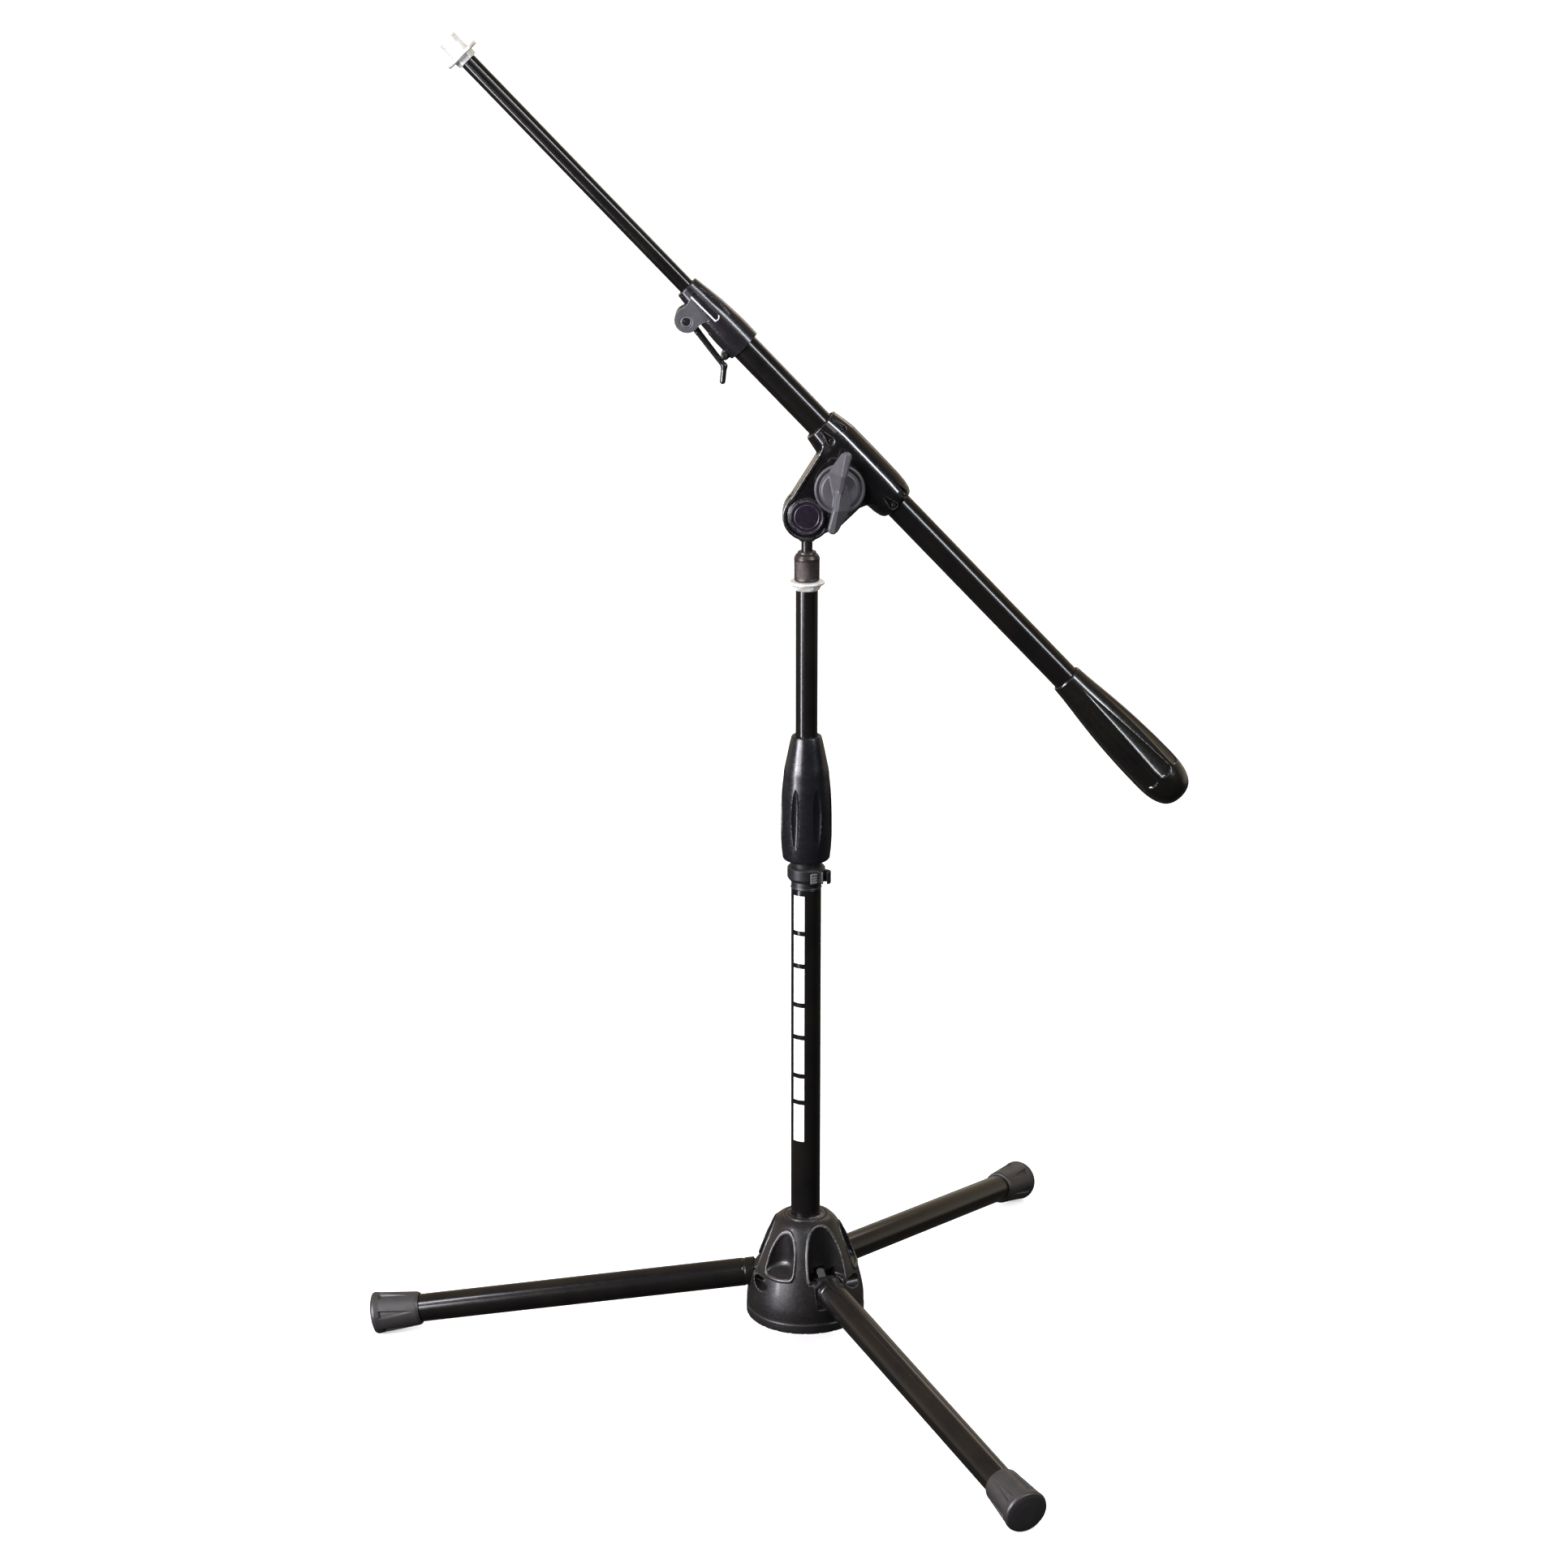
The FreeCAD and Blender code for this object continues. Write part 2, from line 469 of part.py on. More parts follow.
# ---------------------------------------------------------------- inner boom
INN_S0, INN_S1 = 60.0, 440.4
t = tube(INN_RO, INN_RI, INN_S0, INN_S1)
t = t.cut(ycyl(1.52, -10, 10, 0, 428.0))
put("boom_inner_tube", boom(t))
put("boom_inner_guide", boom(revolve(
    [(INN_RI, INN_S0 - 2), (OUT_RI - 0.06, INN_S0 - 2),
     (OUT_RI - 0.06, INN_S0 + 14), (INN_RO, INN_S0 + 14),
     (INN_RO, INN_S0), (INN_RI, INN_S0)])))
stud = cyl(INN_RI - 0.02, 412.0, INN_S1).fuse(
    hexz(15.4, INN_S1, 445.3)).fuse(
    revolve([(0, 445.3), (5.6, 445.3), (5.6, STUD_S0), (STUD_R, STUD_S0),
             (STUD_R, STUD_S1 - 0.7), (STUD_R - 0.7, STUD_S1),
             (0, STUD_S1)]))
stud = stud.cut(ycyl(1.52, -10, 10, 0, 428.0))
put("boom_tip_stud", boom(stud))
put("boom_tip_flange", boom(revolve(
    [(5.62, 445.3), (14.1, 445.3), (14.7, 445.9), (14.7, 447.7),
     (14.1, STUD_S0), (5.62, STUD_S0)])))
put("boom_tip_pin", boom(ycyl(1.5, -6.4, 6.4, 0, 428.0)))

# -------------------------------------------------------------------- export
os.makedirs("parts", exist_ok=True)
for n, s in OUT.items():
    if not s.isValid():
        print("invalid", n)
    for k in s.Solids:
        if k.Volume <= 0:
            print("bad volume", n, k.Volume)
    s.exportStep(os.path.join("parts", n + ".step"))
bb = None
for s in OUT.values():
    b = s.optimalBoundingBox(True, False)
    bb = b if bb is None else bb.united(b)
print("nodes", len(OUT))
print("box", [round(v, 3) for v in (bb.XMin, bb.YMin, bb.ZMin,
                                    bb.XMax, bb.YMax, bb.ZMax)])
print("multi", {n: len(s.Solids) for n, s in OUT.items() if len(s.Solids) > 1})
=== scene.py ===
import bpy
import json
import numpy as np
from math import sin, cos, tan, pi, radians, degrees, sqrt, atan2
from mathutils import Vector, Matrix


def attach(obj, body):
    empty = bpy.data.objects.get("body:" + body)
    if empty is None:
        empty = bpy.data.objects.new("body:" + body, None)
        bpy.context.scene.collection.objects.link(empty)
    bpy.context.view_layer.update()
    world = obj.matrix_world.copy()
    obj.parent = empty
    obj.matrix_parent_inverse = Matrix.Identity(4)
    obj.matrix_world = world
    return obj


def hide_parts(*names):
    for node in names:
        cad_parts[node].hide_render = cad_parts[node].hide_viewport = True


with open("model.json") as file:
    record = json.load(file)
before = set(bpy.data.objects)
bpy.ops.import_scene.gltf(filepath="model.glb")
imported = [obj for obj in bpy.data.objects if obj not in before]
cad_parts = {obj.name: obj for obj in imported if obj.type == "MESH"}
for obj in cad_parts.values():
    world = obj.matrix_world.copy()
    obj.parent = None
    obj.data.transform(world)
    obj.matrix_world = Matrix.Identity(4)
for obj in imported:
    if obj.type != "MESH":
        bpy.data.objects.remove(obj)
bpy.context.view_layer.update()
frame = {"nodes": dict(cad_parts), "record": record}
record = frame["record"]
NODES = frame["nodes"]
NODE_BODY = {n: b for b, ns in record["behaviour"]["bodies"].items() for n in ns}
NODE_SLOT = {s["node"]: s["material_slot"] for s in record["subparts"]}

# ------------------------------------------------------------------ numbers
# millimetres, in the same local frames as the parts' own geometry
MX, MY = 34.185, 8.709
LEG_AZ = {"left": 177.2, "back": 57.2, "front": -62.8}
PIV_R, PIV_Z, LEG_L, BETA = 37.5, 69.45, 351.4, radians(8.465)
PIV_BZ, OFF = 743.5, 58.2
TH = radians(45.92)
BD = np.array([-cos(TH), 0, sin(TH)])
BN = np.array([-sin(TH), 0, -cos(TH)])
BY = np.array([0, -1.0, 0])
FOOT = np.array([0, 0, PIV_BZ]) - BN * OFF
SHIFT = np.array([MX, MY, 0.0])


def M_mast():
    return np.eye(3), SHIFT.copy()


def M_az(az):
    a = radians(az)
    R = np.array([[cos(a), -sin(a), 0], [sin(a), cos(a), 0], [0, 0, 1.0]])
    return R, SHIFT.copy()


def M_leg(az):
    """Leg frame turned so that local Z runs along the leg."""
    a = radians(az)
    x = np.array([cos(a) * cos(BETA), sin(a) * cos(BETA), -sin(BETA)])
    y = np.array([-sin(a), cos(a), 0.0])
    z = np.cross(x, y)
    t = np.array([PIV_R * cos(a), PIV_R * sin(a), PIV_Z]) + SHIFT
    return np.column_stack([x, y, z]), t


def M_legz(az):
    R, t = M_leg(az)
    # local (X, Y, Z) = (-up, side, along)
    return np.column_stack([-R[:, 2], R[:, 1], R[:, 0]]), t


def M_boom():
    return np.column_stack([BN, BY, BD]), FOOT + SHIFT


def M_compose(A, R, t):
    """A local placement inside a frame A."""
    return A[0] @ np.asarray(R, float), A[0] @ np.asarray(t, float) + A[1]


ROT_Y = np.array([[1.0, 0, 0], [0, 0, 1.0], [0, -1.0, 0]])    # Z axis -> +Y
ROT_X = np.array([[0, 0, 1.0], [0, 1.0, 0], [-1.0, 0, 0]])    # Z axis -> +X


# ---------------------------------------------------------------- materials
class Tree:
    def __init__(self, name):
        self.m = bpy.data.materials.new(name)
        self.m.use_nodes = True
        self.t = self.m.node_tree
        self.bsdf = self.t.nodes["Principled BSDF"]

    def n(self, kind, **kw):
        k = self.t.nodes.new(kind)
        for a, b in kw.items():
            setattr(k, a, b)
        return k

    def put(self, sock, v):
        if isinstance(v, bpy.types.NodeSocket):
            self.t.links.new(v, sock)
        else:
            sock.default_value = v

    def math(self, op, a, b=0.0, c=0.0):
        k = self.n("ShaderNodeMath", operation=op)
        self.put(k.inputs[0], a)
        self.put(k.inputs[1], b)
        self.put(k.inputs[2], c)
        return k.outputs[0]

    def vmath(self, op, a, b=(0, 0, 0)):
        k = self.n("ShaderNodeVectorMath", operation=op)
        self.put(k.inputs[0], a)
        self.put(k.inputs[1], b)
        return k.outputs[0]

    def ramp(self, v, a, b, lo=0.0, hi=1.0):
        k = self.n("ShaderNodeMapRange")
        k.clamp = True
        self.put(k.inputs["Value"], v)
        self.put(k.inputs["From Min"], a)
        self.put(k.inputs["From Max"], b)
        self.put(k.inputs["To Min"], lo)
        self.put(k.inputs["To Max"], hi)
        return k.outputs["Result"]

    def noise(self, vec, scale, detail=3.0, rough=0.5):
        k = self.n("ShaderNodeTexNoise")
        self.put(k.inputs["Vector"], vec)
        self.put(k.inputs["Scale"], scale)
        self.put(k.inputs["Detail"], detail)
        self.put(k.inputs["Roughness"], rough)
        return k.outputs["Fac"]

    def mix(self, f, a, b):
        k = self.n("ShaderNodeMix", data_type="RGBA")
        self.put(k.inputs[0], f)
        self.put(k.inputs[6], a)
        self.put(k.inputs[7], b)
        return k.outputs[2]

    def bump(self, h, strength, dist, under=None):
        k = self.n("ShaderNodeBump")
        self.put(k.inputs["Height"], h)
        self.put(k.inputs["Strength"], strength)
        self.put(k.inputs["Distance"], dist)
        if under is not None:
            self.put(k.inputs["Normal"], under)
        return k.outputs["Normal"]


def rgb(c):
    return (c[0], c[1], c[2], 1.0)


def shade(c, f):
    return (min(1, c[0] * f), min(1, c[1] * f), min(1, c[2] * f), 1.0)


def finish(name, base, rough, metallic=0.0, coat=0.0, coat_rough=0.08,
           spec=0.5, grain=0.0, grain_size=0.5, peel=0.0, peel_size=2.5,
           mottle=0.12, mottle_size=14.0, rough_var=0.06, dust=0.0, turned=0.0,
           brushed=0.0, edge=0.0, edge_wear_and_highlight_col=None, tint=None, cad=False):
    """A painted, moulded or plated finish.  Sizes are in millimetres."""
    T = Tree(name + ("_plain" if cad else ""))
    b = T.bsdf
    if cad:
        co = T.n("ShaderNodeTexCoord").outputs["Object"]
        P = T.vmath("MULTIPLY", co, (1000.0, 1000.0, 1000.0))
    else:
        P = T.n("ShaderNodeAttribute", attribute_name="loc").outputs["Vector"]
    big = T.noise(P, 1.0 / mottle_size, 4.0, 0.6)
    mid = T.noise(P, 1.0 / (mottle_size * 0.23), 3.0, 0.55)
    f = T.ramp(big, 0.3, 0.7)
    col = T.mix(f, shade(base, 1 - mottle), shade(base, 1 + mottle))
    if tint is not None:
        g = T.ramp(T.noise(T.vmath("ADD", P, (31.0, 7.0, 90.0)),
                           1.0 / (mottle_size * 2.3), 2.0), 0.35, 0.7)
        col = T.mix(T.math("MULTIPLY", g, 0.6), col, rgb(tint))
    rr = T.math("ADD", rough, T.ramp(mid, 0.25, 0.75, -rough_var, rough_var))
    # faint smears left by handling, longer along the part
    sm = T.noise(T.vmath("MULTIPLY", P, (0.35, 0.35, 0.06)), 1.0, 4.0, 0.65)
    smear = T.ramp(sm, 0.56, 0.74)
    rr = T.math("ADD", rr, T.math("MULTIPLY", smear, rough_var * 1.3))
    if dust > 0:
        d = T.noise(P, 2.1, 2.0, 0.7)
        d = T.math("MULTIPLY", T.ramp(d, 0.66, 0.74), dust)
        col = T.mix(d, col, (0.45, 0.43, 0.40, 1))
        rr = T.math("ADD", rr, T.math("MULTIPLY", d, 0.3))
    # sharp convex edges (high pointiness) turn pale towards edge_wear_and_highlight_col,
    # broken up by noise: partly worn paint, partly a painted highlight on rims and beads
    if edge > 0:
        pt = T.n("ShaderNodeNewGeometry").outputs["Pointiness"]
        e = T.ramp(pt, 0.515, 0.56)
        w = T.ramp(T.noise(P, 0.45, 4.0, 0.7), 0.38, 0.62)
        e = T.math("MULTIPLY", T.math("MULTIPLY", e, w), edge)
        col = T.mix(e, col, rgb(edge_wear_and_highlight_col or (0.35, 0.34, 0.33)))
        rr = T.math("ADD", rr, T.math("MULTIPLY", e, 0.12))
    nrm = None
    if peel > 0:
        nrm = T.bump(T.noise(P, 1.0 / peel_size, 2.0, 0.5), peel, 0.0004)
    if grain > 0:
        nrm = T.bump(T.noise(P, 1.0 / grain_size, 3.0, 0.6), grain, 0.00015, nrm)
    if turned > 0 or brushed > 0:
        sx = T.n("ShaderNodeSeparateXYZ")
        T.put(sx.inputs[0], P)
        rad = T.math("SQRT", T.math("ADD",
                                    T.math("MULTIPLY", sx.outputs[0], sx.outputs[0]),
                                    T.math("MULTIPLY", sx.outputs[1], sx.outputs[1])))
        cb = T.n("ShaderNodeCombineXYZ")
        if turned > 0:          # fine rings from the lathe
            T.put(cb.inputs[0], T.math("MULTIPLY", rad, 3.2))
            T.put(cb.inputs[2], T.math("MULTIPLY", sx.outputs[2], 3.2))
            ang = T.math("ARCTAN2", sx.outputs[1], sx.outputs[0])
            T.put(cb.inputs[1], T.math("MULTIPLY", ang, 0.35))
            amt = turned
        else:                   # drawn lines along the part
            ang = T.math("ARCTAN2", sx.outputs[1], sx.outputs[0])
            T.put(cb.inputs[0], T.math("MULTIPLY", ang, 22.0))
            T.put(cb.inputs[2], T.math("MULTIPLY", sx.outputs[2], 0.03))
            amt = brushed
        ln = T.noise(cb.outputs[0], 1.0, 3.0, 0.6)
        nrm = T.bump(ln, amt, 0.00012, nrm)
        rr = T.math("ADD", rr, T.ramp(ln, 0.3, 0.7, -0.05, 0.07))
    T.put(b.inputs["Base Color"], col)
    T.put(b.inputs["Roughness"], T.math("MAXIMUM", rr, 0.04))
    b.inputs["Metallic"].default_value = metallic
    b.inputs["Coat Weight"].default_value = coat
    b.inputs["Coat Roughness"].default_value = coat_rough
    b.inputs["Specular IOR Level"].default_value = spec
    if nrm is not None:
        T.put(b.inputs["Normal"], nrm)
    T.m.diffuse_color = rgb(base)
    return T.m


# edge and edge_wear_and_highlight_col pale each finish's sharp edges: part wear, part
# painted highlight on rims, beads and flute ends
FIN = {
    "tube_black": dict(base=(0.0040, 0.0037, 0.0037), rough=0.20, coat=0.15,
                       coat_rough=0.1, spec=0.40, peel=0.025, peel_size=2.6, grain=0.015,
                       grain_size=0.35, dust=0.015, rough_var=0.03,
                       tint=(0.008, 0.007, 0.005)),
    "base_cast": dict(base=(0.0060, 0.0055, 0.0058), rough=0.38, coat=0.2,
                      coat_rough=0.12, peel=0.16, peel_size=2.6, grain=0.16,
                      grain_size=0.5, dust=0.06, edge=0.6,
                      edge_wear_and_highlight_col=(0.17, 0.155, 0.15), tint=(0.007, 0.006, 0.005)),
    "base_ring": dict(base=(0.0075, 0.0070, 0.0068), rough=0.42, grain=0.3,
                      grain_size=0.6, dust=0.08, edge=0.3,
                      edge_wear_and_highlight_col=(0.08, 0.08, 0.08)),
    "zinc_bright": dict(base=(0.80, 0.80, 0.79), rough=0.28, metallic=0.5,
                        turned=0.55, mottle=0.10, mottle_size=5.0,
                        rough_var=0.07, tint=(0.60, 0.55, 0.42)),
    "foot_rubber": dict(base=(0.022, 0.0205, 0.0215), rough=0.40, spec=0.6,
                        grain=0.2, grain_size=0.45, peel=0.10, peel_size=3.0,
                        dust=0.12, mottle=0.18, tint=(0.022, 0.020, 0.017)),
    "plastic_black": dict(base=(0.0075, 0.0075, 0.0085), rough=0.40, grain=0.25,
                          grain_size=0.4, dust=0.05),
    "handle_grey": dict(base=(0.0052, 0.0055, 0.0072), rough=0.26, grain=0.12,
                        grain_size=0.40, peel=0.05, peel_size=3.0, dust=0.05,
                        mottle=0.14, tint=(0.007, 0.007, 0.008)),
    "knob_grey": dict(base=(0.060, 0.058, 0.064), rough=0.40, grain=0.42,
                      grain_size=0.42, dust=0.08, mottle=0.12, edge=0.35,
                      edge_wear_and_highlight_col=(0.13, 0.125, 0.13)),
    "coupling_metal": dict(base=(0.050, 0.041, 0.039), rough=0.34,
                           metallic=0.7, turned=0.5, mottle=0.25,
                           mottle_size=3.0, tint=(0.075, 0.062, 0.058)),
    "clamp_black": dict(base=(0.0045, 0.0042, 0.0044), rough=0.18, coat=0.55,
                        coat_rough=0.07, peel=0.06, peel_size=3.4, grain=0.02,
                        grain_size=0.4, dust=0.015, edge=0.6,
                        edge_wear_and_highlight_col=(0.12, 0.11, 0.10)),
    "clutch_casting": dict(base=(0.0095, 0.0085, 0.0105), rough=0.24,
                           metallic=0.1, coat=0.4, coat_rough=0.2, peel=0.10,
                           peel_size=2.4, grain=0.06, grain_size=0.5,
                           dust=0.03, edge=0.5, edge_wear_and_highlight_col=(0.12, 0.115, 0.12),
                           tint=(0.012, 0.011, 0.012)),
    "weight_black": dict(base=(0.0048, 0.0045, 0.0040), rough=0.22, coat=0.45,
                         coat_rough=0.08, peel=0.08, peel_size=3.0, grain=0.02,
                         dust=0.02, edge=0.6, edge_wear_and_highlight_col=(0.10, 0.10, 0.09),
                         tint=(0.007, 0.007, 0.005)),
}
_cache = {}


def mat(slot, cad=False):
    k = (slot, cad)
    if k not in _cache:
        _cache[k] = finish(slot, cad=cad, **FIN[slot])
    return _cache[k]


# --------------------------------------------------------------- mesh making
def add(name, V, F, A, slot, body, replaces=(), normals=None, sharp=None,
        material=None, L=None):
    """V in local mm, F a list of integer arrays (n, 3) or (n, 4), A=(R, t)."""
    V = np.asarray(V, float)
    loc = V if L is None else L
    W = (V @ A[0].T + A[1]) * 0.001
    F = [np.asarray(f, np.int32) for f in F if len(f)]
    vol = 0.0
    for f in F:
        for k in range(1, f.shape[1] - 1):
            a, b, c = W[f[:, 0]], W[f[:, k]], W[f[:, k + 1]]
            vol += np.einsum("ij,ij->i", a, np.cross(b, c)).sum()
    if vol < 0:
        F = [f[:, ::-1] for f in F]
    me = bpy.data.meshes.new(name)
    me.vertices.add(len(W))
    me.vertices.foreach_set("co", W.astype(np.float32).ravel())
    loops = np.concatenate([f.ravel() for f in F])
    sizes = np.concatenate([np.full(len(f), f.shape[1], np.int32) for f in F])
    starts = np.concatenate([[0], np.cumsum(sizes)[:-1]]).astype(np.int32)
    me.loops.add(len(loops))
    me.loops.foreach_set("vertex_index", loops.astype(np.int32))
    me.polygons.add(len(sizes))
    me.polygons.foreach_set("loop_start", starts)
    me.update(calc_edges=True)
    a = me.attributes.new("loc", "FLOAT_VECTOR", "POINT")
    a.data.foreach_set("vector", np.asarray(loc, np.float32).ravel())
    me.validate()
    me.polygons.foreach_set("use_smooth", np.ones(len(me.polygons), bool))
    me.update()
    if normals is not None and len(normals) == len(me.vertices):
        N = normals @ A[0].T
        N /= np.maximum(np.linalg.norm(N, axis=1, keepdims=True), 1e-9)
        me.normals_split_custom_set_from_vertices(N.astype(np.float32))
    elif sharp is not None:
        me.set_sharp_from_angle(angle=radians(sharp))
    me.materials.append(material or mat(slot))
    o = bpy.data.objects.new(name, me)
    bpy.context.scene.collection.objects.link(o)
    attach(o, body)
    if replaces:
        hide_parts(*replaces)
    return o


def rounded(pts, closed):
    """Points (r, z) or (r, z, radius): the corner takes that radius."""
    out = []
    n = len(pts)
    for i, p in enumerate(pts):
        rad = p[2] if len(p) > 2 else 0.0
        q = np.array(p[:2], float)
        if rad <= 0 or (not closed and i in (0, n - 1)):
            out.append(q)
            continue
        a = np.array(pts[i - 1][:2], float) - q
        b = np.array(pts[(i + 1) % n][:2], float) - q
        la, lb = np.linalg.norm(a), np.linalg.norm(b)
        if la < 1e-6 or lb < 1e-6:
            out.append(q)
            continue
        a /= la
        b /= lb
        ang = np.arccos(np.clip(a @ b, -1, 1))
        if ang > pi - 0.05:
            out.append(q)
            continue
        d = min(rad / tan(ang / 2), la * 0.48, lb * 0.48)
        rr = d * tan(ang / 2)
        c = q + (a + b) / np.linalg.norm(a + b) * (rr / sin(ang / 2))
        s, e = q + a * d - c, q + b * d - c
        turn = pi - ang
        k = max(2, int(np.ceil(turn / radians(17))))
        for j in range(k + 1):
            w = j / k
            v = (sin((1 - w) * turn) * s + sin(w * turn) * e) / max(sin(turn), 1e-6)
            if sin(turn) < 1e-3:
                v = s * (1 - w) + e * w
            out.append(c + v)
    return np.array(out)


def spline(pts, n):
    """Smooth curve through points, n samples between each pair."""
    P = np.array(pts, float)
    t = np.concatenate([[0], np.cumsum(np.linalg.norm(np.diff(P, axis=0), axis=1))])
    m = np.zeros_like(P)
    for i in range(len(P)):
        if i == 0:
            m[i] = (P[1] - P[0]) / (t[1] - t[0])
        elif i == len(P) - 1:
            m[i] = (P[-1] - P[-2]) / (t[-1] - t[-2])
        else:
            h0, h1 = t[i] - t[i - 1], t[i + 1] - t[i]
            m[i] = ((P[i] - P[i - 1]) / h0 * h1 + (P[i + 1] - P[i]) / h1 * h0) / (h0 + h1)
    out = []
    for i in range(len(P) - 1):
        h = t[i + 1] - t[i]
        for j in range(n):
            u = j / n
            out.append((2 * u**3 - 3 * u**2 + 1) * P[i] + (u**3 - 2 * u**2 + u) * h * m[i]
                       + (-2 * u**3 + 3 * u**2) * P[i + 1] + (u**3 - u**2) * h * m[i + 1])
    out.append(P[-1])
    return [tuple(p) for p in out]


def lathe(pts, seg=96, closed=True, rmod=None, zsub=None, phase=0.0, raw=False):
    P = np.array([p[:2] for p in pts], float) if raw else rounded(pts, closed)
    if zsub:
        out = []
        m = len(P)
        for i in range(m if closed else m - 1):
            a, b = P[i], P[(i + 1) % m]
            k = max(1, int(np.ceil(np.linalg.norm(b - a) / zsub)))
            for j in range(k):
                out.append(a + (b - a) * j / k)
        if not closed:
            out.append(P[-1])
        P = np.array(out)
    th = np.linspace(0, 2 * pi, seg, endpoint=False) + phase
    r = np.repeat(P[:, :1], seg, 1)
    z = np.repeat(P[:, 1:], seg, 1)
    t = np.repeat(th[None], len(P), 0)
    if rmod is not None:
        r = rmod(t, r, z)
        if isinstance(r, tuple):
            r, z = r
    V = np.stack([r * np.cos(t), r * np.sin(t), z], -1).reshape(-1, 3)
    k = len(P)
    I = np.arange(k * seg).reshape(k, seg)
    lo = I if closed else I[:-1]
    hi = np.roll(I, -1, 0) if closed else I[1:]
    F = []
    a0, a1 = 0, len(lo)
    tris = []
    if not closed and P[0, 0] < 1e-6:
        tris.append(np.stack([np.full(seg, 0), I[1], np.roll(I[1], -1)], -1))
        a0 = 1
    if not closed and P[-1, 0] < 1e-6:
        tris.append(np.stack([np.full(seg, I[-1, 0]), np.roll(I[-2], -1), I[-2]], -1))
        a1 -= 1
    q = np.stack([lo, hi, np.roll(hi, -1, 1), np.roll(lo, -1, 1)], -1)[a0:a1]
    F.append(q.reshape(-1, 4))
    F += tris
    # drop the unused copies of pole points
    used = np.zeros(len(V), bool)
    for f in F:
        used[f.ravel()] = True
    idx = np.cumsum(used) - 1
    return V[used], [idx[f] for f in F]


# ---- distance fields
def smin(a, b, k):
    h = np.maximum(k - np.abs(a - b), 0) / k
    return np.minimum(a, b) - h * h * k * 0.25


def smax(a, b, k):
    return -smin(-a, -b, k)


def hyp(a, b):
    return np.sqrt(a * a + b * b)


def poly2(x, y, pts):
    """Signed distance to a closed polygon, negative inside."""
    d = np.full(np.shape(x), 1e9, np.float32)
    s = np.ones(np.shape(x), np.float32)
    n = len(pts)
    for i in range(n):
        ax, ay = pts[i]
        bx, by = pts[i - 1]
        ex, ey = bx - ax, by - ay
        wx, wy = x - ax, y - ay
        t = np.clip((wx * ex + wy * ey) / (ex * ex + ey * ey), 0, 1)
        d = np.minimum(d, (wx - ex * t) ** 2 + (wy - ey * t) ** 2)
        c1 = y >= ay
        c2 = y < by
        c3 = ex * wy > ey * wx
        flip = (c1 & c2 & c3) | (~c1 & ~c2 & ~c3)
        s = np.where(flip, -s, s)
    return s * np.sqrt(d)


def table(pts, lo, hi, step=0.3):
    """Lookup of a 2-D outline's distance: fast on big grids."""
    nx = int((hi[0] - lo[0]) / step) + 2
    ny = int((hi[1] - lo[1]) / step) + 2
    gx = lo[0] + step * np.arange(nx)
    gy = lo[1] + step * np.arange(ny)
    X, Y = np.meshgrid(gx, gy, indexing="ij")
    T = poly2(X, Y, pts).astype(np.float32)

    def f(x, y):
        u = np.clip((x - lo[0]) / step, 0, nx - 1.001)
        v = np.clip((y - lo[1]) / step, 0, ny - 1.001)
        i = u.astype(np.int32)
        j = v.astype(np.int32)
        a = u - i
        b = v - j
        return (T[i, j] * (1 - a) * (1 - b) + T[i + 1, j] * a * (1 - b)
                + T[i, j + 1] * (1 - a) * b + T[i + 1, j + 1] * a * b)
    return f


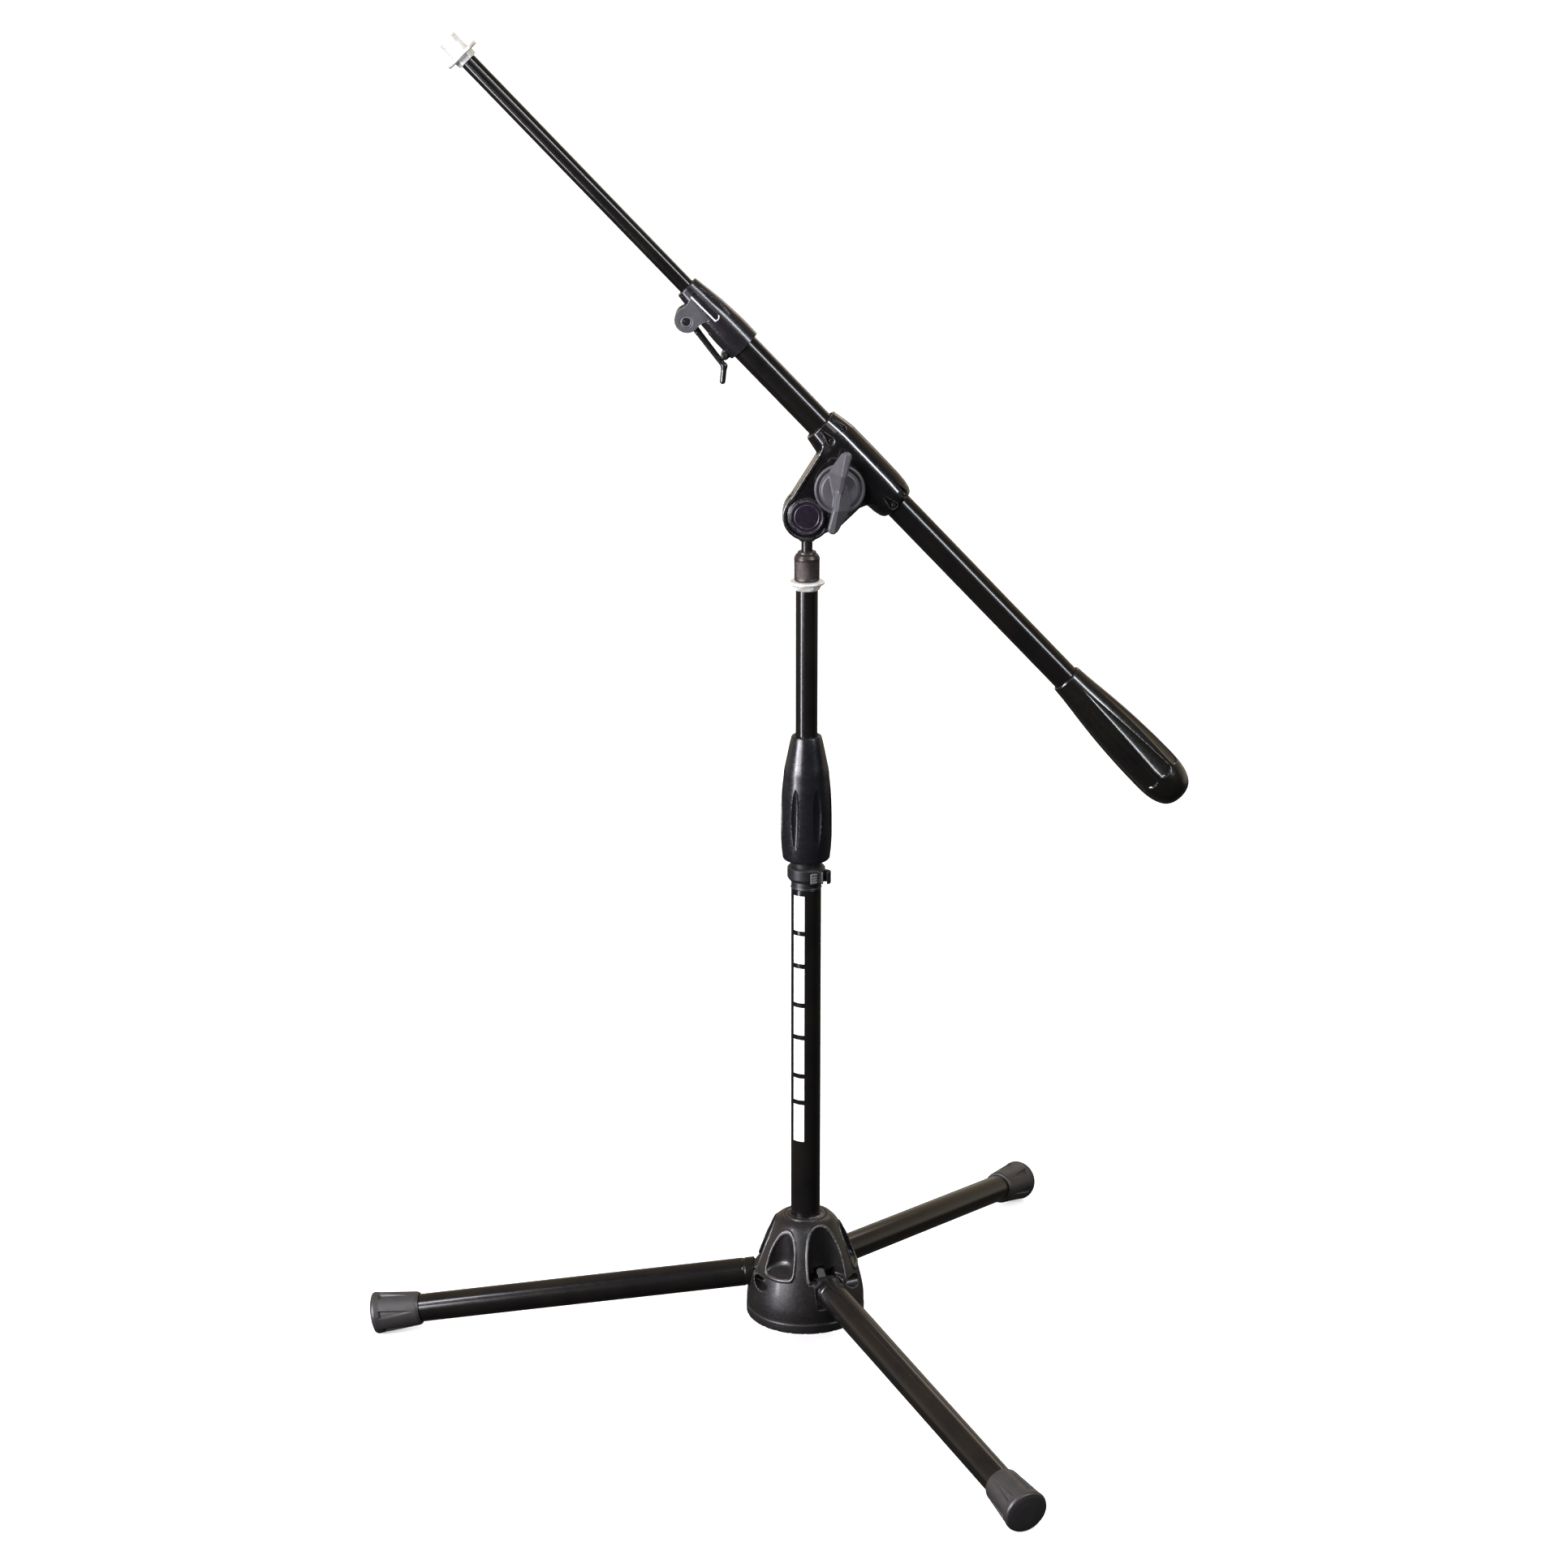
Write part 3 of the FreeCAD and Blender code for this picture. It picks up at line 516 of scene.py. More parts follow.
def nets(f, lo, hi, h):
    """Surface nets on a distance field, points then pulled onto the surface."""
    lo = np.array(lo, float)
    hi = np.array(hi, float)
    n = np.ceil((hi - lo) / h).astype(int) + 1
    ax = [lo[i] + h * np.arange(n[i]) for i in range(3)]
    X, Y, Z = np.meshgrid(*[a.astype(np.float32) for a in ax], indexing="ij")
    D = f(X, Y, Z).astype(np.float32)
    D[0], D[-1] = 1, 1
    D[:, 0], D[:, -1] = 1, 1
    D[:, :, 0], D[:, :, -1] = 1, 1
    S = D < 0
    c = np.zeros(tuple(n - 1), np.int8)
    for i in (0, 1):
        for j in (0, 1):
            for k in (0, 1):
                c += S[i:n[0] - 1 + i, j:n[1] - 1 + j, k:n[2] - 1 + k]
    act = (c > 0) & (c < 8)
    idx = np.argwhere(act)
    cid = np.full(act.shape, -1, np.int32)
    cid[act] = np.arange(len(idx))
    corner = np.array([[i, j, k] for i in (0, 1) for j in (0, 1) for k in (0, 1)])
    vals = np.stack([D[tuple((idx + q).T)] for q in corner], 1)
    pos = np.zeros((len(idx), 3))
    cnt = np.zeros(len(idx))
    for a in range(8):
        for b in range(a + 1, 8):
            if np.abs(corner[a] - corner[b]).sum() != 1:
                continue
            m = (vals[:, a] < 0) != (vals[:, b] < 0)
            t = vals[:, a] / np.where(m, vals[:, a] - vals[:, b], 1)
            p = corner[a] + t[:, None] * (corner[b] - corner[a])
            pos += np.where(m[:, None], p, 0)
            cnt += m
    V = lo + h * (idx + pos / cnt[:, None])
    quads = []
    for axis in range(3):
        o1, o2 = [(1, 2), (2, 0), (0, 1)][axis]
        sl = [slice(1, None)] * 3
        sl[axis] = slice(None, -1)
        A = S[tuple(sl)]
        s2 = [slice(1, None)] * 3
        B = S[tuple(s2)]
        # edge from (i,j,k) to +axis, with at least 1 along the other two
        e = [slice(1, -1)] * 3
        e[axis] = slice(0, n[axis] - 1)
        P0 = S[tuple(e)]
        e2 = list(e)
        e2[axis] = slice(1, n[axis])
        P1 = S[tuple(e2)]
        m = np.argwhere(P0 != P1)
        if not len(m):
            continue
        base = m.copy()
        base[:, o1] += 1
        base[:, o2] += 1
        inside = P0[tuple(m.T)]
        d1 = np.zeros(3, int)
        d1[o1] = 1
        d2 = np.zeros(3, int)
        d2[o2] = 1
        q = np.stack([cid[tuple((base - d1 - d2).T)], cid[tuple((base - d2).T)],
                      cid[tuple(base.T)], cid[tuple((base - d1).T)]], 1)
        q[~inside] = q[~inside][:, ::-1]
        quads.append(q)
    Q = np.concatenate(quads)
    Q = Q[(Q >= 0).all(1)]

    def ev(p):
        return f(p[:, 0], p[:, 1], p[:, 2]).astype(float)

    def grad(p, e):
        g = np.stack([ev(p + np.eye(3)[k] * e) - ev(p - np.eye(3)[k] * e)
                      for k in range(3)], 1) / (2 * e)
        return g

    for _ in range(3):
        g = grad(V, 0.05)
        g2 = np.maximum((g * g).sum(1), 0.05)
        stp = (ev(V) / g2)[:, None] * g
        ln = np.linalg.norm(stp, axis=1, keepdims=True)
        stp *= np.minimum(1, 0.45 * h / np.maximum(ln, 1e-9))
        V = V - stp
    N = grad(V, 0.18)
    N /= np.maximum(np.linalg.norm(N, axis=1, keepdims=True), 1e-6)
    return V, [Q], N


def slab(v, lo, hi):
    return np.maximum(lo - v, v - hi)


def cylz(x, y, z, r, z0, z1, k=0.0):
    a, b = hyp(x, y) - r, slab(z, z0, z1)
    return smax(a, b, k) if k else np.maximum(a, b)


def capsule(x, y, z, a, b, ra, rb=None):
    rb = ra if rb is None else rb
    a = np.array(a, float)
    b = np.array(b, float)
    d = b - a
    t = np.clip(((x - a[0]) * d[0] + (y - a[1]) * d[1] + (z - a[2]) * d[2])
                / (d @ d), 0, 1)
    return np.sqrt((x - a[0] - d[0] * t) ** 2 + (y - a[1] - d[1] * t) ** 2
                   + (z - a[2] - d[2] * t) ** 2) - (ra + (rb - ra) * t)


# ----------------------------------------------------------------- the base
dome = spline([(51.5, 41.0), (51.2, 51.5), (49.8, 60.0), (47.5, 70.0),
               (44.1, 82.3), (41.0, 91.0), (37.8, 99.5), (33.9, 107.3),
               (29.7, 115.5), (26.2, 120.4), (23.2, 122.8), (20.8, 123.9),
               (19.0, 124.2)], 4)
dome_poly = ([(-60, 34.0), (46.5, 34.0), (46.5, 41.4)] + dome
             + [(18.6, 123.4), (17.9, 123.4), (17.6, 124.6), (15.0, 125.4),
                (-60, 125.4)])
dome_t = table(dome_poly, (0, 24), (62, 132))


def hub(x, y, z):
    r = hyp(x, y)
    shell = dome_t(r, z)
    f = shell
    under = np.maximum(slab(r, 20.0, 43.0), slab(z, 20.0, 50.0))
    f = smax(f, -under, 0.8)
    f = np.maximum(f, -cylz(x, y, z, 20.5, 20, 40))
    f = np.maximum(f, -cylz(x, y, z, 4.2, 20, 60))
    f = smax(f, -cylz(x, y, z, 12.74, 46, 140), 0.6)
    bead = np.full(np.shape(f), 50.0, np.float32)
    for az in LEG_AZ.values():
        a = radians(az)
        xa, ya = x * cos(a) + y * sin(a), -x * sin(a) + y * cos(a)
        side = np.where(xa < 43.0, hyp(xa - 43.0, ya), np.abs(ya)) - 18.4
        up = smax(side, 76.0 - z, 2.5)
        f = smax(f, -up, 1.5)
        b = hyp(shell + 0.15, side + 0.2) - 0.85
        bead = np.minimum(bead, np.maximum(b, 77.0 - z))
        ay = np.abs(ya)
        f = smax(f, -np.maximum(np.maximum(37.5 - xa, ay - 12.9), slab(z, 68.0, 79.0)), 0.9)
        dx, dz = xa - PIV_R, z - PIV_Z
        rp = hyp(dx, dz)
        f = smax(f, -np.maximum(rp - 14.8, ay - 12.9), 0.7)
        f = smax(f, -np.maximum(rp - 18.4, ay - 4.6), 0.7)
        lx = dx * cos(BETA) - dz * sin(BETA)
        lz = dx * sin(BETA) + dz * cos(BETA)
        low = np.maximum(np.maximum(slab(lx, 0, 70), ay - 12.9), slab(lz, -13.3, 14))
        f = smax(f, -low, 0.9)
        f = smax(f, -np.maximum(rp - 4.03, -22.0 - ya), 0.4)
        f = smax(f, -np.maximum(rp - 5.9, 14.6 - ya), 0.7)
        # egg-shaped recess between two legs
        a += radians(60)
        xa, ya = x * cos(a) + y * sin(a), -x * sin(a) + y * cos(a)
        side = hyp(xa - 43.5, ya) - 14.7
        nx, nz = 17.0, 33.5
        ln = sqrt(nx * nx + nz * nz)
        fl = ((xa - 26.5) * nx + (z - 87.5) * nz) / ln
        mid = smax(side, -fl, 4.0)
        f = smax(f, -mid, 1.3)
        rim = smax(side, -fl, 4.0)
        b = hyp(shell + 0.1, rim + 0.2) - 0.95
        bead = np.minimum(bead, b)
    f = smin(f, smax(bead, r - 52.2, 0.5), 0.9)
    f = np.maximum(f, -cylz(x, y, z, 12.74, 46, 140))
    return f


V, F, N = nets(hub, (-55, -55, 31), (55, 55, 128), 0.8)
add("hub_casting", V, F, M_mast(), "base_cast", "base", ["base_housing"], N)


def ring_mod(t, r, z):
    # small moulded notches on the lower edge of the ring
    w = np.cos(t * 24)
    n = np.clip((w - 0.86) / 0.14, 0, 1)
    low = np.clip((35.0 - z) / 2.2, 0, 1)
    return r - n * low * (r > 48.5) * 0.8


V, F = lathe([(46.6, 31.6, 0.3), (50.2, 31.6, 0.8), (51.6, 33.0, 0.8),
              (51.8, 36.6), (51.8, 39.9, 0.7), (51.1, 40.95, 0.5),
              (46.6, 40.95, 0.3)], 384, True, ring_mod, 1.2)
add("hub_lower_ring", V, F, M_mast(), "base_ring", "base",
    ["base_bottom_ring"], sharp=38)

m_steel = finish("dark_steel", (0.045, 0.043, 0.041), 0.30, metallic=0.8,
                 grain=0.15, mottle=0.2, mottle_size=3.0, peel=0.06)

# --------------------------------------------------------------------- legs
cap_prof = [(12.45, LEG_L - 44.0, 0.3), (13.9, LEG_L - 44.0, 0.7),
            (15.0, LEG_L - 41.6, 1.6), (17.9, LEG_L - 9.0, 6.0),
            (18.7, LEG_L - 4.4, 2.4), (17.9, LEG_L - 2.0, 1.8),
            (14.6, LEG_L - 0.9, 3.0), (8.0, LEG_L - 0.15, 4.0),
            (0.0, LEG_L - 0.05)]
cap_in = [(0.0, LEG_L - 6.2), (12.45, LEG_L - 6.2, 0.4)]


def cap_mod(t, r, z):
    """Six wedge flutes, blunt at the outer end, running out to a point."""
    x = z - (LEG_L - 44.0)          # 0 at the tube end, 44 at the tip
    u = np.clip((x - 4.5) / 29.5, 0, 1)
    blunt = np.clip((35.2 - x) / 1.1, 0, 1)
    half = 3.55 * u ** 0.8 + 0.02
    depth = 1.9 * u ** 0.9 * blunt
    out = r.copy()
    for i in range(6):
        c = radians(180 - 15 + 60 * i)
        d = (t - c + pi) % (2 * pi) - pi
        s = np.abs(d * r) / half
        prof = np.clip(1.25 - 0.25 * s * s, 0, 1) * np.clip((1 - s) * half / 0.9, 0, 1)
        out = out - np.where(r > 13.2, depth * prof, 0) * (x > 4.0)
    return out


for side, az in LEG_AZ.items():
    body = "leg_" + side
    A = M_legz(az)
    L = LEG_L
    V, F = lathe([(10.9, 6.5, 0.2), (12.4, 6.5, 0.5), (12.4, 14.0, 0.5),
                  (11.95, 14.8, 0.4), (11.95, 16.0, 0.4), (12.4, 16.8, 0.5),
                  (12.4, L - 6.2, 0.3), (10.9, L - 6.2, 0.2)], 96)
    add("tube_leg_" + side, V, F, A, "tube_black", body, ["leg_tube_" + side],
        sharp=40)
    V, F = lathe([(0.0, L - 6.15), (12.42, L - 6.15, 0.2)] + cap_prof, 384,
                 False, cap_mod, 0.75)
    W = V @ A[0].T + A[1]
    bad = W[:, 2] < 0
    W[bad, 2] = 0.0
    V2 = (W - A[1]) @ A[0]
    add("rubber_foot_" + side, V2, F, A, "foot_rubber", body,
        ["foot_cap_" + side], sharp=45, L=V)

    def knuckle(x, y, z):
        # leg frame: x along, y side, z up
        plug = np.maximum(hyp(y, z) - 10.85, slab(x, 8.0, 42.0))
        eye = smax(hyp(x, z) - 8.6, np.abs(y) - 8.8, 0.9)
        web = smax(np.maximum(np.maximum(np.abs(y) - 8.8, np.abs(z) - 8.6),
                              hyp(y, z) - 10.85), slab(x, 0, 12), 0.6)
        boss = smax(hyp(x, z) - 6.3, np.abs(y) - 12.5, 0.7)
        f = smin(smin(plug, smin(eye, web, 1.2), 0.6), boss, 0.9)
        ang = radians(139.9)
        c, s = cos(ang), sin(ang)
        u, w = x * c + z * s, -x * s + z * c
        cut = np.maximum(np.maximum(slab(u, 5.4, 30), np.abs(y) - 4.05),
                         np.abs(w) - 1.15)
        f = smax(f, -cut, 0.4)
        return smax(f, -(hyp(x, z) - 4.06), 0.3)

    V, F, N = nets(knuckle, (-12, -14, -13), (44, 14, 13), 0.6)
    add("pivot_block_" + side, V, F, M_leg(az), "base_ring", body,
        ["leg_knuckle_" + side], N)

    def blade(x, y, z):
        ang = radians(139.9)
        c, s = cos(ang), sin(ang)
        u, w = x * c + z * s, -x * s + z * c
        tongue = np.maximum(slab(u, 5.5, 17.3), np.abs(y) - 4.0)
        tongue = np.maximum(tongue, hyp(np.maximum(u - 12.6, 0), y) - 4.7)
        return smax(tongue, np.abs(w) - 1.05, 0.7)

    V, F, N = nets(blade, (-17, -6, 0), (0, 6, 15), 0.3)
    add("detent_blade_" + side, V, F, M_leg(az), "zinc_bright", body,
        ["leg_detent_" + side], N, material=m_steel)

# near-black, dull pin ends: painted shade, so that the pivot holes read dark
m_pin_painted_shade = finish("pin_black_painted_shade", (0.004, 0.004, 0.004), 0.5, metallic=0.3,
               grain=0.15, mottle=0.2, mottle_size=3.0, spec=0.2)
pin_prof = [(0.0, -21.6), (2.6, -21.6, 0.5), (4.0, -20.6, 0.7), (4.0, 13.4, 0.7),
            (2.6, 14.4, 0.5), (0.0, 14.4)]
VV, FF, off = [], [], 0
for side, az in LEG_AZ.items():
    V, F = lathe(pin_prof, 48, False)
    R, t = M_az(az)
    A = M_compose((R, t), ROT_Y, (PIV_R, 0, PIV_Z))
    VV.append(V @ A[0].T + A[1])
    FF += [f + off for f in F]
    off += len(V)
add("leg_pins", np.concatenate(VV), FF, (np.eye(3), np.zeros(3)), "zinc_bright",
    NODE_BODY["leg_pivot_pins"], ["leg_pivot_pins"], sharp=40,
    material=m_pin_painted_shade)

# --------------------------------------------------------------------- mast
A = M_mast()
V, F = lathe([(11.2, 46.0, 0.2), (12.7, 46.0, 0.4), (12.7, 424.0, 0.35),
              (11.2, 424.0, 0.2)], 128)
add("lower_tube", V, F, A, "tube_black", "base", ["lower_mast_tube"], sharp=40)

# plain printed blocks in a column down the lower tube, each bent round it
m_white = finish("print_white", (0.86, 0.86, 0.87), 0.42, grain=0.12,
                 grain_size=0.5, mottle=0.05, dust=0.02)
VV, FF, off = [], [], 0
mid_az = radians(-90 - 30.0)
half_w = 5.3 / 12.7
col_z = 419.5
blocks = [31, 25, 31, 25, 31, 20, 34]
gap = 4.3
for i, hgt in enumerate(blocks):
    z1 = col_z
    z0 = z1 - hgt
    col_z = z0 - gap
    na, nz = 14, 6
    th = mid_az + np.linspace(-half_w, half_w, na)
    zz = np.linspace(z0, z1, nz)
    for ri, rr in ((0, 12.66), (1, 12.76)):
        T, Zg = np.meshgrid(th, zz, indexing="ij")
        VV.append(np.stack([rr * np.cos(T), rr * np.sin(T), Zg], -1).reshape(-1, 3))
    I = np.arange(na * nz).reshape(na, nz)
    J = I + na * nz
    q = [np.stack([J[:-1, :-1], J[1:, :-1], J[1:, 1:], J[:-1, 1:]], -1).reshape(-1, 4),
         np.stack([I[:-1, :-1], I[:-1, 1:], I[1:, 1:], I[1:, :-1]], -1).reshape(-1, 4)]
    for (a, b) in ((I[:, 0], J[:, 0]), (J[:, -1], I[:, -1])):
        q.append(np.stack([a[:-1], a[1:], b[1:], b[:-1]], -1))
    for (a, b) in ((J[0], I[0]), (I[-1], J[-1])):
        q.append(np.stack([a[:-1], a[1:], b[1:], b[:-1]], -1))
    FF += [f + off for f in q]
    off += 2 * na * nz
add("print_blocks", np.concatenate(VV), FF, A, "tube_black", "base",
    sharp=35, material=m_white)

# clutch neck below the handle
V, F = lathe([(9.2, 402.0, 0.2), (11.18, 402.0, 0.3), (11.18, 424.1),
              (12.95, 424.1, 0.3), (13.3, 425.0, 0.4), (12.75, 426.3, 0.4),
              (12.7, 430.4, 0.3), (12.3, 431.0, 0.3), (12.3, 450.0, 0.3),
              (15.0, 450.6, 0.4), (15.0, 492.0, 0.6), (12.4, 494.2, 0.4),
              (12.4, 495.0, 0.3), (9.2, 495.0, 0.2)], 128)
add("clutch_neck", V, F, A, "plastic_black", NODE_BODY["mast_clutch_body"],
    ["mast_clutch_body"], sharp=40)

h_curve = spline([(19.9, 451.2), (20.8, 459.3), (21.35, 468.0), (21.4, 480.0),
                  (21.1, 497.8), (20.4, 510.5), (19.5, 519.5), (18.7, 527.5),
                  (17.0, 535.9), (15.3, 544.3), (13.9, 551.0), (13.0, 554.6)], 5)
h_prof = ([(15.08, 448.6, 0.3), (16.2, 448.6, 0.6), (19.0, 450.0, 0.7)]
          + h_curve + [(12.5, 556.4, 0.6), (11.7, 557.0, 0.4),
                       (9.55, 557.0, 0.4), (9.55, 549.0), (11.2, 547.0),
                       (12.85, 499.0), (15.08, 494.0)])


def spindle_r(z, zc, length, half):
    """Radius of a lens of revolution of that length and half width."""
    R = (length ** 2 / 4 + half ** 2) / (2 * half)
    q = R * R - (z - zc) ** 2
    return np.where(q > 0, np.sqrt(np.maximum(q, 0)) - (R - half), -1.0)


def handle_mod(t, r, z):
    out = r.copy()
    c = spindle_r(z, 493.0, 84.0, 4.45)
    for i in range(7):
        a = radians(-90 + 25.7 + i * 360.0 / 7)
        d = (t - a + pi) % (2 * pi) - pi
        Rc = 23.25
        s = Rc * np.sin(d)
        q = c * c - s * s
        hit = (q > 0) & (c > 0) & (np.abs(d) < 0.6)
        cut = Rc * np.cos(d) - np.sqrt(np.maximum(q, 0))
        out = np.where(hit & (r > 14.0) & (z > 449.0), np.minimum(out, cut), out)
    return out


V, F = lathe(h_prof, 448, True, handle_mod, 1.1)
add("twist_handle", V, F, A, "handle_grey", NODE_BODY["mast_clutch_handle"],
    ["mast_clutch_handle"], sharp=34)


def clip(x, y, z):
    r = hyp(x, y)
    ring = poly2(r, z, [(12.38, 431.2), (14.2, 431.2), (16.0, 434.0),
                        (16.0, 442.2), (14.6, 443.6), (12.38, 443.6)])
    a = radians(-42.2)
    u, w = x * cos(a) + y * sin(a), -x * sin(a) + y * cos(a)
    arm = np.maximum(np.maximum(slab(u, 12.6, 19.6), np.abs(w) - 3.4),
                     slab(z, 433.0, 442.4))
    f = smin(ring, arm, 1.2)
    hx, hy = x - 15.8, y + 14.3
    rh = hyp(hx, hy)
    outer = smax(np.abs(rh - 4.0) - 1.0, slab(z, 432.5, 443.3), 0.7)
    outer = smax(outer, -np.maximum(hy, np.abs(hx) - 1.4), 0.6)
    f = smin(f, outer, 0.7)
    f = smax(f, -(rh - 3.0), 0.3)
    a = radians(-66)
    u, w = x * cos(a) + y * sin(a), -x * sin(a) + y * cos(a)
    pocket = np.maximum(np.maximum(slab(u, 15.0, 18.0), np.abs(w) - 3.6),
                        slab(z, 430.9, 441.0))
    f = smax(f, -pocket, 0.3)
    return np.maximum(f, -(r - 12.38))


V, F, N = nets(clip, (-18, -22, 429), (24, 18, 446), 0.45)
add("cable_hook_ring", V, F, A, "plastic_black", "clip", ["cable_clip"], N)


def clip_plate(x, y, z):
    a = radians(-66)
    u, w = x * cos(a) + y * sin(a), -x * sin(a) + y * cos(a)
    b = smax(smax(slab(u, 15.05, 17.2), np.abs(w) - 3.3, 1.0),
             slab(z, 431.4, 440.6), 1.0)
    # three shallow grooves across its face
    for k in (433.9, 435.9, 437.9):
        b = smax(b, -(hyp(u - 17.6, z - k) - 0.75), 0.3)
    return b


V, F, N = nets(clip_plate, (1, -19, 430), (13, -10, 442), 0.3)
add("hook_ring_plate", V, F, A, "zinc_bright", "clip", ["cable_clip_plate"], N,
    material=finish("plate_grey", (0.085, 0.085, 0.08), 0.5, metallic=0.2,
                    grain=0.6, grain_size=0.5, mottle=0.18, mottle_size=2.0,
                    dust=0.1))

V, F = lathe([(7.9, 279.0, 0.2), (9.1, 279.0, 0.3), (9.1, 680.5, 0.3),
              (7.9, 680.5, 0.2)], 112)
add("upper_tube", V, F, A, "tube_black", "upper_mast", ["upper_mast_tube"],
    sharp=40)


def top_stud(x, y, z):
    hexd = np.full(np.shape(x), -99.0)
    for i in range(6):
        a = radians(60 * i + 30)
        hexd = np.maximum(hexd, x * cos(a) + y * sin(a) - 10.25)
    h = smax(smax(hexd, slab(z, 680.52, 685.1), 0.4),
             hyp(x, y) - 11.6 + (683.4 - z) * 0.55, 0.5)
    body = cylz(x, y, z, 7.85, 655.0, 682.0)
    th = np.arctan2(y, x)
    rad = 4.55 + 0.2 * np.cos(2 * pi * z / 1.5876 - th)
    shank = np.maximum(hyp(x, y) - rad, slab(z, 682.0, 703.0))
    return smin(smin(h, body, 0.3), shank, 0.2)


V, F, N = nets(top_stud, (-13, -13, 654), (13, 13, 704), 0.45)
add("mast_stud", V, F, A, "zinc_bright", "upper_mast", ["mast_top_stud"], N)

V, F = lathe([(4.78, 685.1, 0.2), (13.7, 685.1, 0.5), (14.6, 685.8, 0.5),
              (14.6, 687.2, 0.5), (13.9, 687.8, 0.4), (4.78, 687.8, 0.2)], 128)
add("mast_flange", V, F, A, "zinc_bright", "upper_mast", ["mast_top_flange"],
    sharp=30)


def knurl(t, r, z):
    band = np.clip((z - 690.0) / 0.8, 0, 1) * np.clip((706.0 - z) / 0.8, 0, 1)
    k = 2 * pi * 10.6 / 1.35
    k = round(k)
    a = np.abs(((t * k + z * 2 * pi / 1.35) / (2 * pi)) % 1 - 0.5) * 2
    b = np.abs(((t * k - z * 2 * pi / 1.35) / (2 * pi)) % 1 - 0.5) * 2
    return r - np.where(r > 9.7, band * 0.42 * (1 - np.minimum(a, b)), 0)


V, F = lathe([(4.85, 688.05, 0.2), (9.7, 688.05, 0.4), (10.5, 689.2, 0.4),
              (10.58, 707.3, 0.5), (9.4, 709.8, 0.5), (7.9, 711.0, 0.4),
              (7.45, 712.6, 0.4), (4.78, 712.6, 0.2), (4.78, 708.2),
              (7.6, 708.2), (7.6, 704.2), (4.85, 704.2)], 392, True, knurl, 0.42)
add("knurled_coupling", V, F, A, "coupling_metal", "coupling",
    ["coupling_nut"], sharp=50)


def post(x, y, z):
    ay = np.abs(y)
    eye = smax(hyp(x, z - PIV_BZ) - 17.0, ay - 3.95, 0.8)
    neck = cylz(x, y, z, 4.65, 707.0, 728.0)
    neck = np.maximum(neck, np.where(z > 726.3, ay - 3.95, -9.0))
    r = hyp(x, y)
    sh = poly2(r, z, [(-20, 721.2), (6.0, 721.2), (6.5, 721.8), (6.5, 729.5),
                      (-20, 729.5)])
    sh = smax(sh, ay - 3.98, 0.4)
    f = smin(smin(eye, sh, 0.5), neck, 0.3)
    f = smin(f, cylz(x, y, z, 7.35, 704.6, 707.6, 0.4), 0.3)
    return np.maximum(f, -(hyp(x, z - PIV_BZ) - 4.56))


V, F, N = nets(post, (-19, -9, 703), (19, 9, 763), 0.5)
add("swivel_eye", V, F, A, "zinc_bright", "boom_post", ["swivel_post"], N,
    material=finish("post_dark", (0.012, 0.011, 0.011), 0.20, coat=0.4,
                    turned=0.2, mottle=0.2, mottle_size=4.0, peel=0.05))

# ---------------------------------------------------------------- boom clamp
B = M_boom()
sleeve_t = table([(-60, -45.2), (13.6, -45.2), (14.7, -44.4), (16.4, -41.6),
                  (17.6, -36.0), (18.3, -28.0), (18.5, 0.0), (18.3, 26.0),
                  (17.2, 34.0), (15.2, 44.4), (14.2, 45.2), (-60, 45.2)],
                 (0, -56), (30, 56), 0.25)
flank = [(10.0, 31.0), (18.9, 29.5), (OFF - 0.6, 20.0), (OFF - 0.6, -20.0),
         (43.7, -24.6), (33.0, -24.6), (22.7, -24.5), (18.2, -26.4),
         (10.0, -29.0)]
flank_t = table(flank, (-30, -60), (90, 60), 0.4)
KN, KS = 22.6, -0.9
RECESS = [(s0, a) for s0 in (31.8, -41.2) for a in (-4.0, 47.0)]


def clamp(x, y, z):
    r = hyp(x, y)
    ay = np.abs(y)
    sl = sleeve_t(r, z)
    out = np.minimum(flank_t(x, z), hyp(x - OFF, z) - 20.0)
    # side walls sit proud of a slightly sunken face, as on a cast lever
    arm = smax(out, ay - 13.0, 1.5)
    f = smin(sl, arm, 3.4)
    # sunken web between the sleeve and the pivot boss, with a raised border
    web = smax(smax(out + 2.7, 19.9 - hyp(x - OFF, z) - 4.6, 2.0),
               20.6 - r, 1.5)
    f = smax(f, -smax(web, 11.6 - ay, 0.6), 0.9)
    f = smax(f, -np.maximum(hyp(x - OFF, z) - 21.4, ay - 4.85), 0.6)
    f = smax(f, -(r - 12.96), 0.6)
    f = np.maximum(f, -(hyp(x - KN, z - KS) - 4.06))
    f = np.maximum(f, -(hyp(x - OFF, z) - 4.52))
    f = smax(f, -np.maximum(hyp(x - KN, z - KS) - 10.6, 13.0 - y), 0.4)
    f = smax(f, -np.maximum(hyp(x - KN, z - KS) - 9.6, 13.0 + y), 0.4)
    for s0, ang in RECESS:
        a = radians(90.0 + ang)
        e = (cos(a), sin(a))
        w = -x * e[1] + y * e[0]
        h = x * e[0] + y * e[1]
        u = z - s0
        # teardrop, round at the screw and pointed towards the boom's tip
        t = np.clip(u, 0, 10.5)
        d = hyp(w, u - t) - (3.0 - 0.24 * t)
        dep = 2.3 - 0.13 * t
        f = smax(f, -smax(smax(d, -(sl + dep), 0.5), 10.0 - h, 0.2), 0.5)
        f = np.maximum(f, -np.maximum(hyp(w, u) - 1.65, 13.0 - h))
    return f


def half(sign):
    def g(x, y, z):
        return smax(clamp(x, y, z), 0.12 - y * sign, 0.5)
    return g


